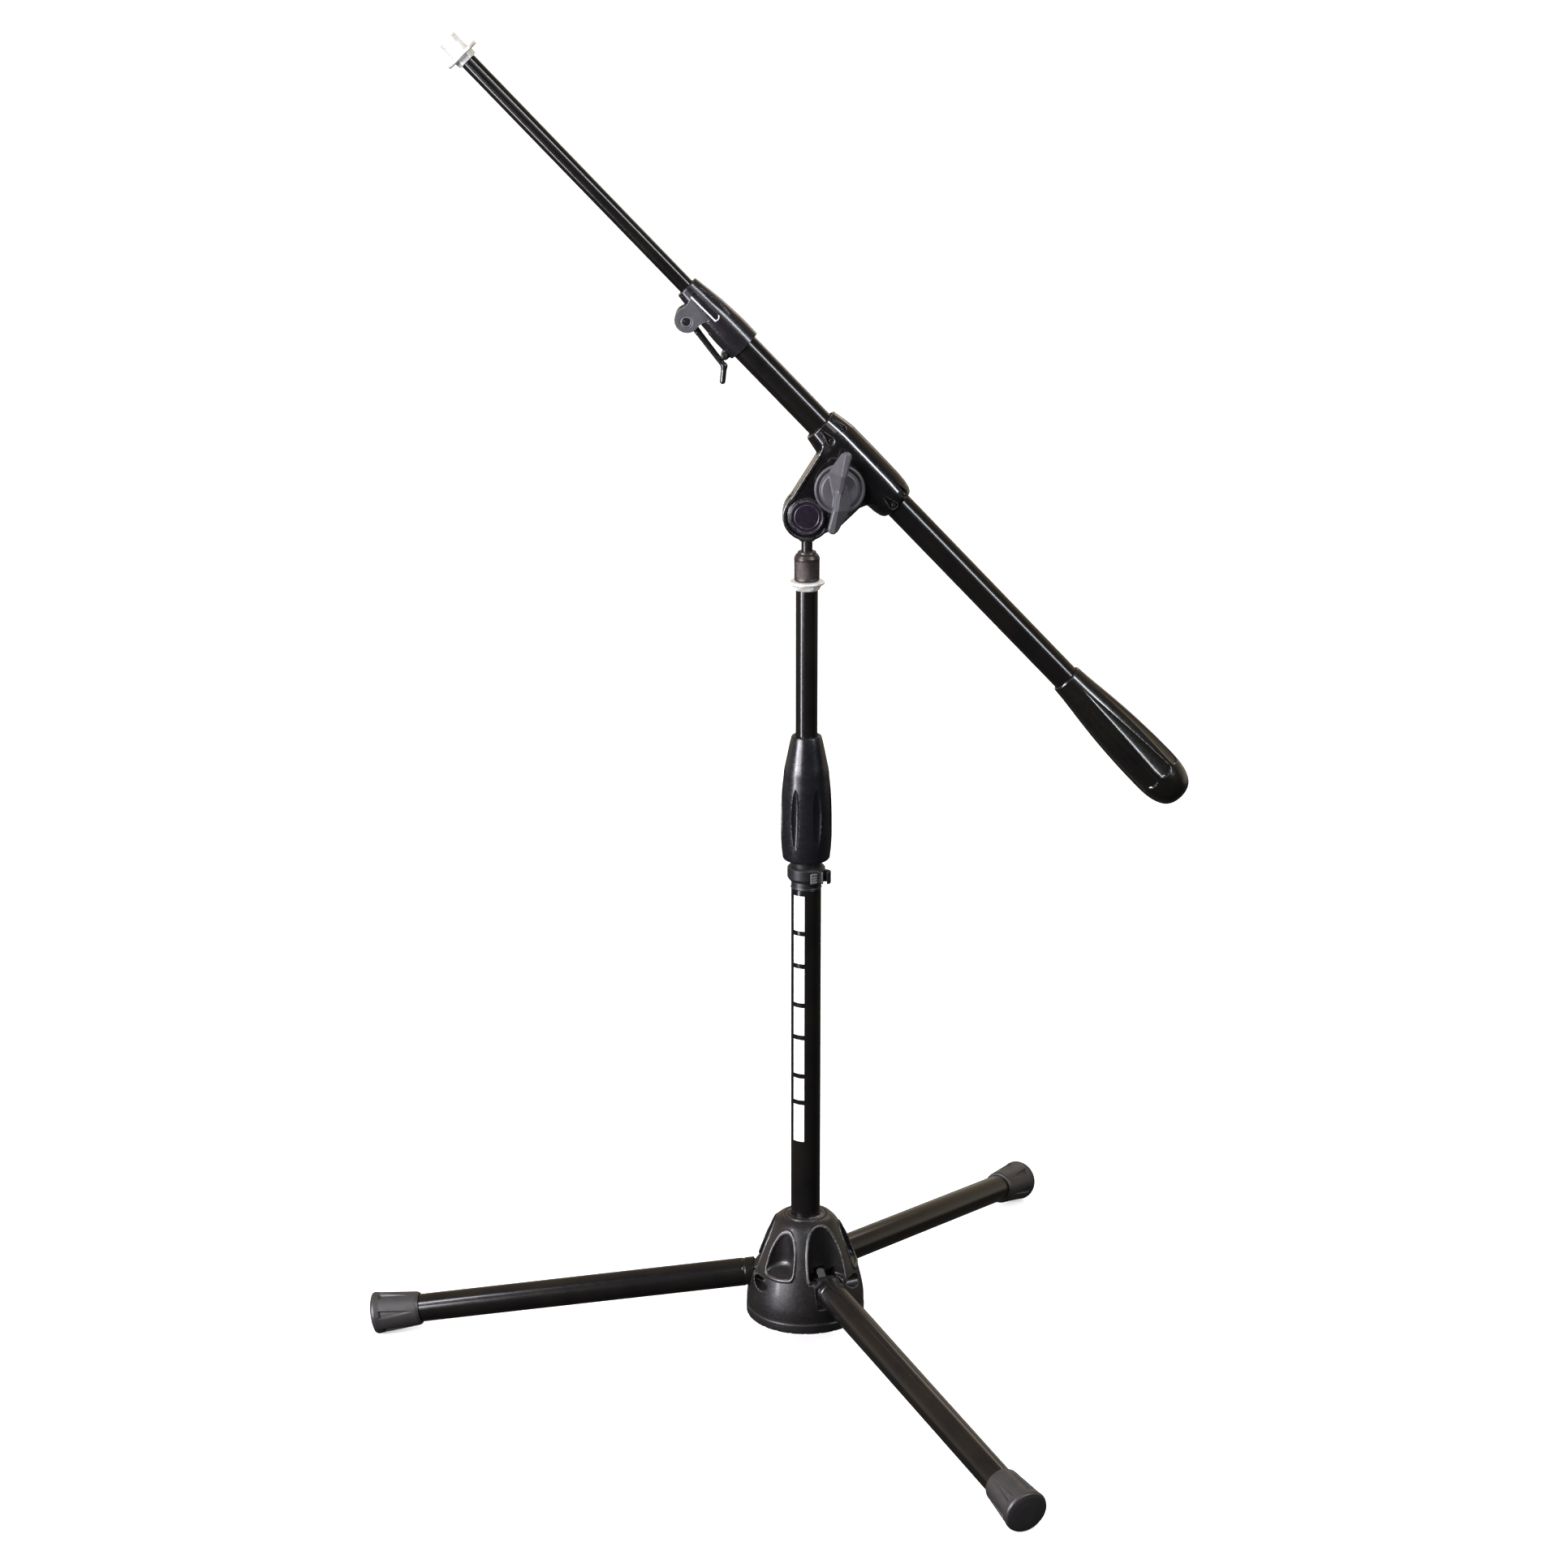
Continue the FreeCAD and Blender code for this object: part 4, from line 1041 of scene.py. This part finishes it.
for sign, nm, node in ((1, "boom_head_front", "boom_clamp_front"),
                       (-1, "boom_head_back", "boom_clamp_back")):
    lo = (-21, -1, -48) if sign > 0 else (-21, -21, -48)
    hi = (81, 21, 48) if sign > 0 else (81, 1, 48)
    V, F, N = nets(half(sign), lo, hi, 0.62)
    add(nm, V, F, B, "clamp_black", "clamp", [node], N)

# set screws with a hexagon socket
VV, FF, off, LL = [], [], 0, []
for s0, ang in RECESS:
    def sock(t, r, z):
        hexr = 0.82 / np.cos(((t + pi / 6) % (pi / 3)) - pi / 6)
        return np.where((r < 1.0) & (r > 0.2), hexr, r)
    V, F = lathe([(0, 13.25), (1.6, 13.25, 0.1), (1.6, 16.45, 0.2),
                  (0.9, 16.6), (0.9, 15.3), (0, 15.2)], 36, False, sock, 0.5)
    a = radians(90.0 + ang)
    e = np.array([cos(a), sin(a), 0.0])
    zx = np.array([0, 0, 1.0])
    y2 = -np.cross(zx, e)
    R = np.column_stack([zx, y2, e])
    C = M_compose(B, R, (0, 0, s0))
    VV.append(V @ C[0].T + C[1])
    FF += [f + off for f in F]
    LL.append(V)
    off += len(V)
add("grub_screws", np.concatenate(VV), FF, (np.eye(3), np.zeros(3)),
    "zinc_bright", "clamp", ["clamp_set_screws"], sharp=35,
    L=np.concatenate(LL), material=m_steel)

# round caps on the tilt pivot: raised rim, sunken disc with a thin inner ring
for sign, nm in ((1, "front"), (-1, "back")):
    def cap(x, y, z, sign=sign):
        h = y * sign
        r = hyp(x - OFF, z)
        disc = smax(r - 14.0, slab(h, 13.02, 13.9), 0.3)
        rim = smax(np.abs(r - 13.15) - 0.85, slab(h, 13.02, 14.75), 0.6)
        f = smin(disc, rim, 0.5)
        inner = smax(np.abs(r - 9.8) - 0.35, slab(h, 13.3, 14.15), 0.3)
        return smin(f, inner, 0.3)
    lo = (OFF - 15.5, 12 if sign > 0 else -16, -15.5)
    hi = (OFF + 15.5, 16 if sign > 0 else -12, 15.5)
    V, F, N = nets(cap, lo, hi, 0.4)
    # the cap's pale edge colour is part wear, part painted highlight on its rims
    add("pivot_badge_" + nm, V, F, B, "plastic_black", "clamp",
        ["pivot_cap_" + nm], N,
        material=finish("cap_violet_" + nm, (0.011, 0.008, 0.014), 0.27,
                        grain=0.1, grain_size=0.4, dust=0.05, edge=0.8,
                        edge_wear_and_highlight_col=(0.16, 0.14, 0.17)))

# wing knob
WT = radians(36.5)


WING_A = [(-4.0, -13.0), (6.0, -13.4), (20.0, -8.6), (31.2, -3.9), (33.2, -1.4),
          (33.6, 1.2), (32.4, 3.6), (29.8, 4.6), (14.0, 3.2), (2.0, 3.4),
          (-4.0, 1.0)]
wing_t = table(WING_A, (-50, -50), (50, 50), 0.3)


def knob(x, y, z):
    dx, dz = x - KN, z - KS
    r = hyp(dx, dz)
    f = smax(r - 9.7, slab(y, 13.25, 20.0), 0.5)
    # dished flange with a rolled rim
    fl = smax(r - 20.4, slab(y, 19.45, 21.3), 0.6)
    rim = hyp(r - 19.0, (y - 21.2) * 1.05) - 1.45
    f = smin(smin(f, fl, 0.8), rim, 0.7)
    boss = smax(r - 15.9 + np.maximum(y - 23.5, 0) * 0.35, slab(y, 20.0, 26.3), 1.6)
    f = smin(f, boss, 0.5)
    a = dx * cos(WT) - dz * sin(WT)
    b = dx * sin(WT) + dz * cos(WT)
    w1 = wing_t(a, b)
    w2 = wing_t(-a, -b)
    # each blade's top slopes off from the driving edge
    t1 = 40.0 - np.clip((-b - 1.0) * 1.3, 0, 16) - np.clip(14 - a, 0, 20) * 0.5
    t2 = 40.0 - np.clip((b - 1.0) * 1.3, 0, 16) - np.clip(14 + a, 0, 20) * 0.5
    under = 22.5 + np.clip(r - 16, 0, 1) * 0.6 + np.clip(r - 19, 0, 16) * 0.62
    b1 = smax(w1, np.maximum((y - t1) * 0.9, (under - y) * 0.85), 2.0)
    b2 = smax(w2, np.maximum((y - t2) * 0.9, (under - y) * 0.85), 2.0)
    f = smin(f, smin(b1, b2, 2.2), 1.3)
    return np.maximum(f, -np.maximum(r - 4.02, y - 29.0))


V, F, N = nets(knob, (KN - 36, 12, KS - 36), (KN + 36, 42, KS + 36), 0.5)
add("wing_grip", V, F, B, "knob_grey", "wing", ["wing_knob"], N)

V, F = lathe([(0, -21.4), (3.3, -21.4, 0.3), (4.0, -20.6, 0.3), (4.0, 28.8, 0.3),
              (0, 28.8)], 40, False, lambda t, r, z: r - np.where(
                  r > 3.5, 0.22 * (0.5 + 0.5 * np.cos(2 * pi * z / 1.25 - t)), 0),
             0.3)
add("wing_bolt", V, F, M_compose(B, ROT_Y, (KN, 0, KS)), "zinc_bright",
    NODE_BODY["wing_screw"], ["wing_screw"], sharp=60)


def nut(x, y, z):
    hexd = np.full(np.shape(x), -99.0)
    for i in range(6):
        a = radians(60 * i)
        hexd = np.maximum(hexd, x * cos(a) + y * sin(a) - 6.5)
    f = smax(hexd, slab(z, 0, 6), 0.3)
    f = smax(f, hyp(x, y) + np.abs(z - 3) * 1.2 - 10.1, 0.4)
    return np.maximum(f, -(hyp(x, y) - 4.05))


V, F, N = nets(nut, (-8.5, -8.5, -1), (8.5, 8.5, 7), 0.35)
NUT_R = np.column_stack([[1.0, 0, 0], [0, 0, -1.0], [0, 1.0, 0]])
add("hex_nut", V, F, M_compose(B, NUT_R, (KN, -20.2, KS)), "zinc_bright",
    NODE_BODY["wing_screw_nut"], ["wing_screw_nut"], N)
V, F = lathe([(4.2, -14.2, 0.2), (9.0, -14.2, 0.3), (9.0, -13.05, 0.3),
              (4.2, -13.05, 0.2)], 64)
add("nut_washer", V, F, M_compose(B, ROT_Y, (KN, 0, KS)), "zinc_bright",
    NODE_BODY["wing_nut_washer"], ["wing_nut_washer"], sharp=35)

# ---------------------------------------------------------------- outer boom
V, F = lathe([(10.1, -300.0, 0.2), (11.35, -300.0, 0.4), (11.35, 172.0, 0.4),
              (10.1, 172.0, 0.2)], 128)
add("outer_tube", V, F, B, "tube_black", "outer_boom", ["boom_outer_tube"],
    sharp=40)

w_curve = spline([(13.3, -248.4), (14.0, -257.7), (15.3, -270.2),
                  (16.7, -282.7), (17.9, -295.2), (18.9, -307.8),
                  (19.6, -320.4), (20.1, -333.0), (20.35, -345.7),
                  (20.35, -358.3), (19.6, -369.0), (17.2, -378.0),
                  (13.2, -384.4), (8.2, -387.4), (4.0, -388.0)], 5)
w_prof = ([(0, -299.9), (11.37, -299.9, 0.2), (11.37, -247.6, 0.5),
           (12.5, -247.0, 0.5)] + w_curve + [(0, -388.0)])


def weight_mod(t, r, z):
    """Eight long pointed flutes that end in a round step before the nose."""
    out = r.copy()
    s = -z
    for i in range(8):
        c = radians(22.5 + 45 * i)
        d = (t - c + pi) % (2 * pi) - pi
        lat = d * r
        u = np.clip((s - 258.0) / 92.0, 0, 1)
        half = 6.2 * u ** 0.85 + 0.02
        # rounded end of the flute
        endline = 359.0 + np.sqrt(np.maximum(1 - (lat / 6.3) ** 2, 0)) * 3.4
        blunt = np.clip((endline - s) / 1.0, 0, 1)
        q = np.clip(1 - (lat / half) ** 2, 0, 1)
        depth = 1.55 * u ** 1.1 * q ** 0.75 * blunt
        out = out - np.where((r > 13.2) & (s > 250), depth, 0)
    return out


V, F = lathe(w_prof, 448, False, weight_mod, 0.9)
add("balance_weight", V, F, B, "weight_black", "outer_boom", ["counterweight"],
    sharp=36)

cast_t = table([(-60, 132.5), (14.3, 132.5)]
               + spline([(14.35, 132.6), (14.5, 150.0), (14.0, 160.0),
                         (13.5, 168.0), (12.6, 177.0), (11.6, 185.0),
                         (10.6, 192.0), (9.8, 197.7)], 3)
               + [(9.2, 198.5), (-60, 198.5)], (0, 120), (40, 210), 0.25)
EN, ES = 18.5, 179.3
leaf_t = table([(1.9, 190.6), (3.0, 179.0), (4.2, 167.8), (13.4, 170.4),
                (17.2, 180.0), (12.2, 188.6), (7.0, 189.2)],
               (-20, 120), (60, 220), 0.25)


def casting(x, y, z):
    r = hyp(x, y)
    ay = np.abs(y)
    f = smax(cast_t(r, z), slab(z, 132.5, 198.5), 1.0)
    leaf = smin(leaf_t(x, z), hyp(x - 17.2, z - 180.0) - 10.2, 1.5)
    # flat leaf-shaped cheek let into the barrel, thinner towards its lobe
    f = smax(f, -smax(leaf + 0.2, 10.5 - ay, 0.3), 0.4)
    f = smin(f, smax(leaf + 0.25, ay - 9.9, 0.7), 0.5)
    f = smax(f, -np.maximum(hyp(x - EN, z - ES) - 3.2, 9.0 - ay), 0.4)
    f = smax(f, -(np.abs(hyp(x - EN, z - ES) - 4.6) + np.abs(ay - 10.5) * 1.2 - 0.45), 0.3)
    lug = smax(np.minimum(hyp(x - 16.0, z - 138.4) - 3.4,
                          np.maximum(slab(x, 8, 16), slab(z, 135, 141.8))),
               ay - 7.0, 0.8)
    f = smin(f, lug, 1.2)
    sh = cast_t(r, z)
    # round-ended channel beside the cheek's upper edge
    t = np.clip((z - 163.5) / 26.5, 0, 1)
    xl = 1.0 + 0.9 * t
    tz = np.clip(z, 166.0, 190.0)
    ch = hyp(x + 1.55 - 0.5 * t, z - tz) - (2.3 - 0.6 * t)
    f = smax(f, -smax(smax(ch, -(sh + 1.1), 0.4), 3.0 - ay, 0.2), 0.35)
    # almond hollow on each shoulder of the barrel
    ea = radians(137.0)
    w = -x * sin(ea) + ay * cos(ea)
    h = x * cos(ea) + ay * sin(ea)
    lens = np.abs(w) - 2.7 * (1 - ((z - 175.0) / 15.5) ** 2)
    alm = smax(smax(lens * 0.9, -(sh + 1.2), 0.4), 4.0 - h, 0.2)
    f = smax(f, -alm, 0.35)
    f = smax(f, -cylz(x, y, z, 11.36, 100, 172), 0.4)
    f = np.maximum(f, -cylz(x, y, z, 8.9, 150, 190))
    f = smax(f, -cylz(x, y, z, 6.75, 150, 230), 0.5)
    f = smax(f, -np.maximum(np.maximum(10.6 - x, ay - 4.9), slab(z, 160, 205)), 0.5)
    f = smax(f, -np.maximum(np.maximum(slab(x, 9, 12), ay - 4.9), slab(z, 173, 189)), 0.3)
    f = np.maximum(f, -(hyp(x - EN, z - ES) - 2.02))
    f = np.maximum(f, -(hyp(x - 16.0, z - 138.4) - 2.03))
    f = smax(f, -np.maximum(np.maximum(-x, ay - 0.8), z - 146.0), 0.3)
    return f


V, F, N = nets(casting, (-17, -17, 130), (31, 17, 201), 0.45)
add("clutch_barrel", V, F, B, "clutch_casting", "outer_boom",
    ["boom_clutch_casting"], N)

# the cheek's pale sharp edges are part wear, part painted highlight
m_cheek = finish("cheek_grey", (0.052, 0.052, 0.057), 0.42, grain=0.35,
                 grain_size=0.5, mottle=0.15, mottle_size=6.0, dust=0.05,
                 edge=0.7, edge_wear_and_highlight_col=(0.30, 0.30, 0.31))
# near-white colour for the strip along the cheek's edge: a painted highlight
m_painted_highlight_strip = finish("painted_highlight_strip", (0.62, 0.62, 0.66), 0.3, metallic=0.25,
                mottle=0.06, mottle_size=4.0)
for sg, side in ((1, "front"), (-1, "back")):
    def cheek(x, y, z, sg=sg):
        h = y * sg
        leaf = smin(leaf_t(x, z), hyp(x - 17.2, z - 180.0) - 10.2, 1.5)
        f = smax(leaf, slab(h, 9.7, 10.55), 0.5)
        f = smax(f, -(hyp(x - EN, z - ES) - 3.2), 0.3)
        g = np.abs(hyp(x - EN, z - ES) - 4.7) + np.abs(h - 10.6) * 1.2 - 0.5
        return smax(f, -g, 0.3)

    lo = (-2, 9 if sg > 0 else -11.5, 164)
    hi = (30, 11.5 if sg > 0 else -9, 194)
    V, F, N = nets(cheek, lo, hi, 0.35)
    add("clutch_cheek_" + side, V, F, B, "clutch_casting", "outer_boom", [], N,
        material=m_cheek)

    # thin pale strip just proud of the barrel along the cheek's upper edge, hooked at its
    # lower end: a painted highlight line
    def painted_highlight_line(x, y, z, sg=sg):
        h = y * sg
        rs = np.interp(z, [163.0, 168.0, 177.0, 185.0, 191.0],
                       [13.7, 13.45, 12.55, 11.55, 10.75])
        t = np.clip((z - 163.5) / 27.0, 0, 1)
        xl = 0.9 + 1.0 * t
        a = hyp(x - xl, np.clip(np.abs(z - 177.2) - 13.2, 0, 50)) - 0.62
        b = np.maximum(np.abs(hyp(x + 1.3, z - 166.2) - 2.7) - 0.45, z - 165.6)
        f = np.minimum(a, b)
        return smax(smax(f, np.abs(hyp(x, h) - rs + 0.1) - 0.5, 0.25),
                    3.0 - h, 0.2)

    lo = (-7, 9 if sg > 0 else -15, 161)
    hi = (5, 15 if sg > 0 else -9, 193)
    V, F, N = nets(painted_highlight_line, lo, hi, 0.3)
    add("clutch_line_" + side, V, F, B, "clutch_casting", "outer_boom", [], N,
        material=m_painted_highlight_strip)


def pin_with_heads(half, r, hr, hl):
    return [(0, -half - hl), (hr * 0.72, -half - hl, hl * 0.5),
            (hr, -half - hl * 0.35, hl * 0.4), (hr, -half, 0.1), (r, -half),
            (r, half), (hr, half, 0.1), (hr, half + hl * 0.35, hl * 0.4),
            (hr * 0.72, half + hl, hl * 0.5), (0, half + hl)]


V, F = lathe(pin_with_heads(7.05, 2.0, 2.9, 2.1), 48, False)
add("pinch_bolt", V, F, M_compose(B, ROT_Y, (16.0, 0, 138.4)), "zinc_bright",
    "outer_boom", ["boom_clutch_screw"], sharp=40, material=m_steel)
V, F = lathe(pin_with_heads(8.98, 2.0, 2.9, 0.5), 48, False)
add("cam_rivet", V, F, M_compose(B, ROT_Y, (EN, 0, ES)), "zinc_bright",
    NODE_BODY["cam_pin"], ["cam_pin"], sharp=40, material=m_steel)


def lever(x, y, z):
    cam = smax(np.minimum(hyp(x - EN, z - ES) - 6.2,
                          hyp(x - EN + 0.6, z - ES + 0.5) - 6.4),
               np.abs(y) - 4.65, 0.7)
    cam = np.maximum(cam, -(hyp(x, y) - 9.0))
    p = [(EN - 1.0, 0, ES - 4.0), (EN + 0.2, 0, 166.0), (22.6, 0, 132.5),
         (32.2, 0, 124.6)]
    rod = capsule(x, y, z, p[0], p[1], 3.0, 2.6)
    rod = smin(rod, capsule(x, y, z, p[1], p[2], 2.6, 2.4), 0.6)
    rod = smin(rod, capsule(x, y, z, p[2], p[3], 2.4, 2.35), 1.6)
    f = smin(cam, rod, 1.6)
    return np.maximum(f, -(hyp(x - EN, z - ES) - 2.05))


V, F, N = nets(lever, (10, -7, 120), (38, 7, 188), 0.4)
add("cam_handle", V, F, B, "zinc_bright", "lever", ["cam_lever"], N,
    material=finish("lever_black", (0.010, 0.010, 0.011), 0.22, coat=0.4,
                    grain=0.08, dust=0.04))

# ---------------------------------------------------------------- inner boom
V, F = lathe([(5.3, 60.0, 0.2), (6.5, 60.0, 0.3), (6.5, 440.3, 0.35),
              (5.3, 440.3, 0.2)], 96)
add("inner_tube", V, F, B, "tube_black", "inner_boom", ["boom_inner_tube"],
    sharp=40)


def tip_hex(x, y, z):
    hexd = np.full(np.shape(x), -99.0)
    for i in range(6):
        a = radians(60 * i + 30)
        hexd = np.maximum(hexd, x * cos(a) + y * sin(a) - 7.7)
    f = smax(hexd, slab(z, 440.45, 445.3), 0.35)
    f = smax(f, hyp(x, y) - 8.75 - (z - 440.4) * 0.12, 0.4)
    return smin(f, cylz(x, y, z, 5.2, 412.0, 443.0), 0.2)


V1, F1, N1 = nets(tip_hex, (-10, -10, 411), (10, 10, 446.5), 0.4)
add("tip_hexagon", V1, F1, B, "zinc_bright", "inner_boom", [], N1)


def thread(t, r, z):
    pitch = 25.4 / 27
    u = (z / pitch - t / (2 * pi)) % 1
    tri = np.abs(u - 0.5) * 2
    band = np.clip((z - 448.9) / 0.5, 0, 1) * np.clip((463.2 - z) / 0.9, 0, 1)
    d = 0.50 * band * np.clip(tri * 1.15, 0, 1)
    return np.where(r > 7.0, r - d, r)


V, F = lathe([(0, 445.35), (5.6, 445.35, 0.1), (5.6, 448.32), (7.9, 448.32, 0.1),
              (7.9, 462.7, 0.2), (7.1, 463.5, 0.3), (4.2, 463.6, 0.3),
              (3.6, 462.8, 0.3), (0, 462.8)], 96, False, thread, 0.12)
add("threaded_tip", V, F, B, "zinc_bright", "inner_boom", ["boom_tip_stud"],
    sharp=65)
V, F = lathe([(5.62, 445.32, 0.2), (13.7, 445.32, 0.4), (14.7, 446.1, 0.45),
              (14.7, 447.55, 0.45), (13.9, 448.28, 0.4), (5.62, 448.28, 0.2)], 128)
add("tip_flange", V, F, B, "zinc_bright", "inner_boom", ["boom_tip_flange"],
    sharp=30)
V, F = lathe([(0, -6.45), (0.7, -6.45, 0.1), (1.5, -6.0, 0.3), (1.5, 6.0, 0.3),
              (0.7, 6.45, 0.1), (0, 6.45)], 32, False)
add("roll_pin", V, F, M_compose(B, ROT_Y, (0, 0, 428.0)), "zinc_bright",
    "inner_boom", ["boom_tip_pin"], sharp=40)

# --------------------------------------- remaining pieces keep their own mesh
for n, o in NODES.items():
    m = mat(NODE_SLOT[n], cad=True)
    for i in range(len(o.material_slots)):
        o.material_slots[i].material = m
    if not len(o.material_slots):
        o.data.materials.append(m)

# ---------------------------------------------------------- floor and lights
fl = bpy.data.meshes.new("floor")
S = 45.0
fl.from_pydata([(-S, -S, -0.0006), (S, -S, -0.0006), (S, S, -0.0006),
                (-S, S, -0.0006)], [], [(0, 1, 2, 3)])
floor = bpy.data.objects.new("floor", fl)
bpy.context.scene.collection.objects.link(floor)
T = Tree("floor_pale")
fc = T.noise(T.n("ShaderNodeTexCoord").outputs["Object"], 0.8, 3.0)
T.put(T.bsdf.inputs["Base Color"], T.mix(fc, (0.88, 0.88, 0.885, 1), (0.91, 0.91, 0.91, 1)))
T.bsdf.inputs["Roughness"].default_value = 0.9
T.bsdf.inputs["Specular IOR Level"].default_value = 0.1
fl.materials.append(T.m)

world = bpy.data.worlds.new("studio")
world.use_nodes = True
bpy.context.scene.world = world
wt = world.node_tree
bg = wt.nodes["Background"]


def wn(kind, **kw):
    k = wt.nodes.new(kind)
    for a, b in kw.items():
        setattr(k, a, b)
    return k


def wput(sock, v):
    if isinstance(v, bpy.types.NodeSocket):
        wt.links.new(v, sock)
    else:
        sock.default_value = v


def wramp(v, a, b):
    k = wn("ShaderNodeMapRange", interpolation_type="SMOOTHSTEP")
    wput(k.inputs["Value"], v)
    k.inputs["From Min"].default_value = a
    k.inputs["From Max"].default_value = b
    return k.outputs["Result"]


def wmix(f, a, b):
    k = wn("ShaderNodeMix", data_type="RGBA")
    wput(k.inputs[0], f)
    wput(k.inputs[6], a)
    wput(k.inputs[7], b)
    return k.outputs[2]


# a dark studio round the stand, warmer behind it, with a pale backdrop
sep = wn("ShaderNodeSeparateXYZ")
wput(sep.inputs[0], wn("ShaderNodeTexCoord").outputs["Generated"])
high = wramp(sep.outputs[2], -0.05, 0.55)
rear = wramp(sep.outputs[1], -0.15, 0.35)
front = wmix(high, (0.012, 0.012, 0.014, 1), (0.050, 0.050, 0.056, 1))
low = wramp(sep.outputs[2], -0.25, -0.02)
back = wmix(high, (0.62, 0.55, 0.44, 1), (0.26, 0.19, 0.135, 1))
back = wmix(low, (0.05, 0.045, 0.04, 1), back)
env = wmix(rear, front, back)
seen = wn("ShaderNodeLightPath").outputs["Is Camera Ray"]
wput(bg.inputs[0], wmix(seen, env, (1.0, 1.0, 1.0, 1)))
bg.inputs[1].default_value = 1.0

floor.visible_glossy = False
floor.visible_diffuse = False


def aim(o, loc, target, along=None):
    o.location = loc
    z = (Vector(loc) - Vector(target)).normalized()
    y = Vector(along) if along else Vector((0, 0, 1))
    y = (y - z * y.dot(z)).normalized()
    x = y.cross(z)
    o.rotation_euler = Matrix((x, y, z)).transposed().to_euler()


def area(name, way, dist, sx, sy, glow, color=(1, 1, 1), along=None,
         target=(0.05, 0.0, 0.5)):
    """Panel seen from the stand in direction `way`, of that radiance."""
    ld = bpy.data.lights.new(name, "AREA")
    ld.shape = "RECTANGLE"
    ld.size, ld.size_y = sx, sy
    ld.energy = glow * pi * sx * sy
    ld.color = color
    o = bpy.data.objects.new(name, ld)
    bpy.context.scene.collection.objects.link(o)
    d = Vector(way).normalized() * dist
    aim(o, Vector(target) + d, target, along)
    return o


BDV = (float(BD[0]), 0.0, float(BD[2]))
area("strip_right", (0.62, -0.56, 0.55), 3.2, 0.34, 2.6, 30, (0.90, 0.94, 1.0),
     BDV, (0.1, 0.0, 0.75))
area("strip_left", (-1.12, -0.71, 0.19), 1.34, 0.18, 1.6, 27.0,
     (0.93, 0.90, 1.0), None, (0.03, 0.0, 0.62))
area("key_left", (-0.70, -0.64, 0.29), 2.8, 1.4, 0.9, 21.0, (0.98, 0.95, 1.0),
     None, (0.03, 0.0, 0.09))
area("front_high", (0.10, -0.74, 0.66), 3.2, 1.5, 0.5, 2.4, (1.0, 0.97, 0.92))
area("back_rim", (0.35, 0.80, 0.50), 3.0, 1.2, 0.8, 1.6, (1.0, 0.95, 0.85))


def soft_sun(name, energy, angle, shadow, way):
    ld = bpy.data.lights.new(name, "SUN")
    ld.energy = energy
    ld.angle = radians(angle)
    ld.use_shadow = shadow
    o = bpy.data.objects.new(name, ld)
    bpy.context.scene.collection.objects.link(o)
    aim(o, way, (0.0, 0.0, 0.0))
    o.visible_glossy = False


soft_sun("ceiling_wash", 3.0, 60, False, (-0.7, 0.2, 3.0))
soft_sun("ceiling_soft", 1.3, 140, True, (-0.7, -0.3, 3.0))


# ------------------------------------------------------------------- camera
cd = bpy.data.cameras.new("camera")
cam = bpy.data.objects.new("camera", cd)
bpy.context.scene.collection.objects.link(cam)
cd.sensor_fit = "AUTO"
cd.sensor_width = 36.0
cd.lens = 4143.9 / 1932.0 * 36.0
cd.shift_x = 0.0
cd.shift_y = (1162.2 - 966.0) / 1932.0
cd.clip_end = 200.0
cd.dof.use_dof = False
PHI, PSI = 0.3364, -0.00695
fw = Vector((sin(PSI) * cos(PHI), cos(PSI) * cos(PHI), -sin(PHI)))
cam.location = ((0 + MX) * 0.001, (-2694.4 + MY) * 0.001, 1.3160)
cam.rotation_euler = fw.to_track_quat("-Z", "Y").to_euler()
bpy.context.scene.camera = cam

bpy.context.scene.view_settings.view_transform = "Standard"
bpy.context.scene.view_settings.look = "None"
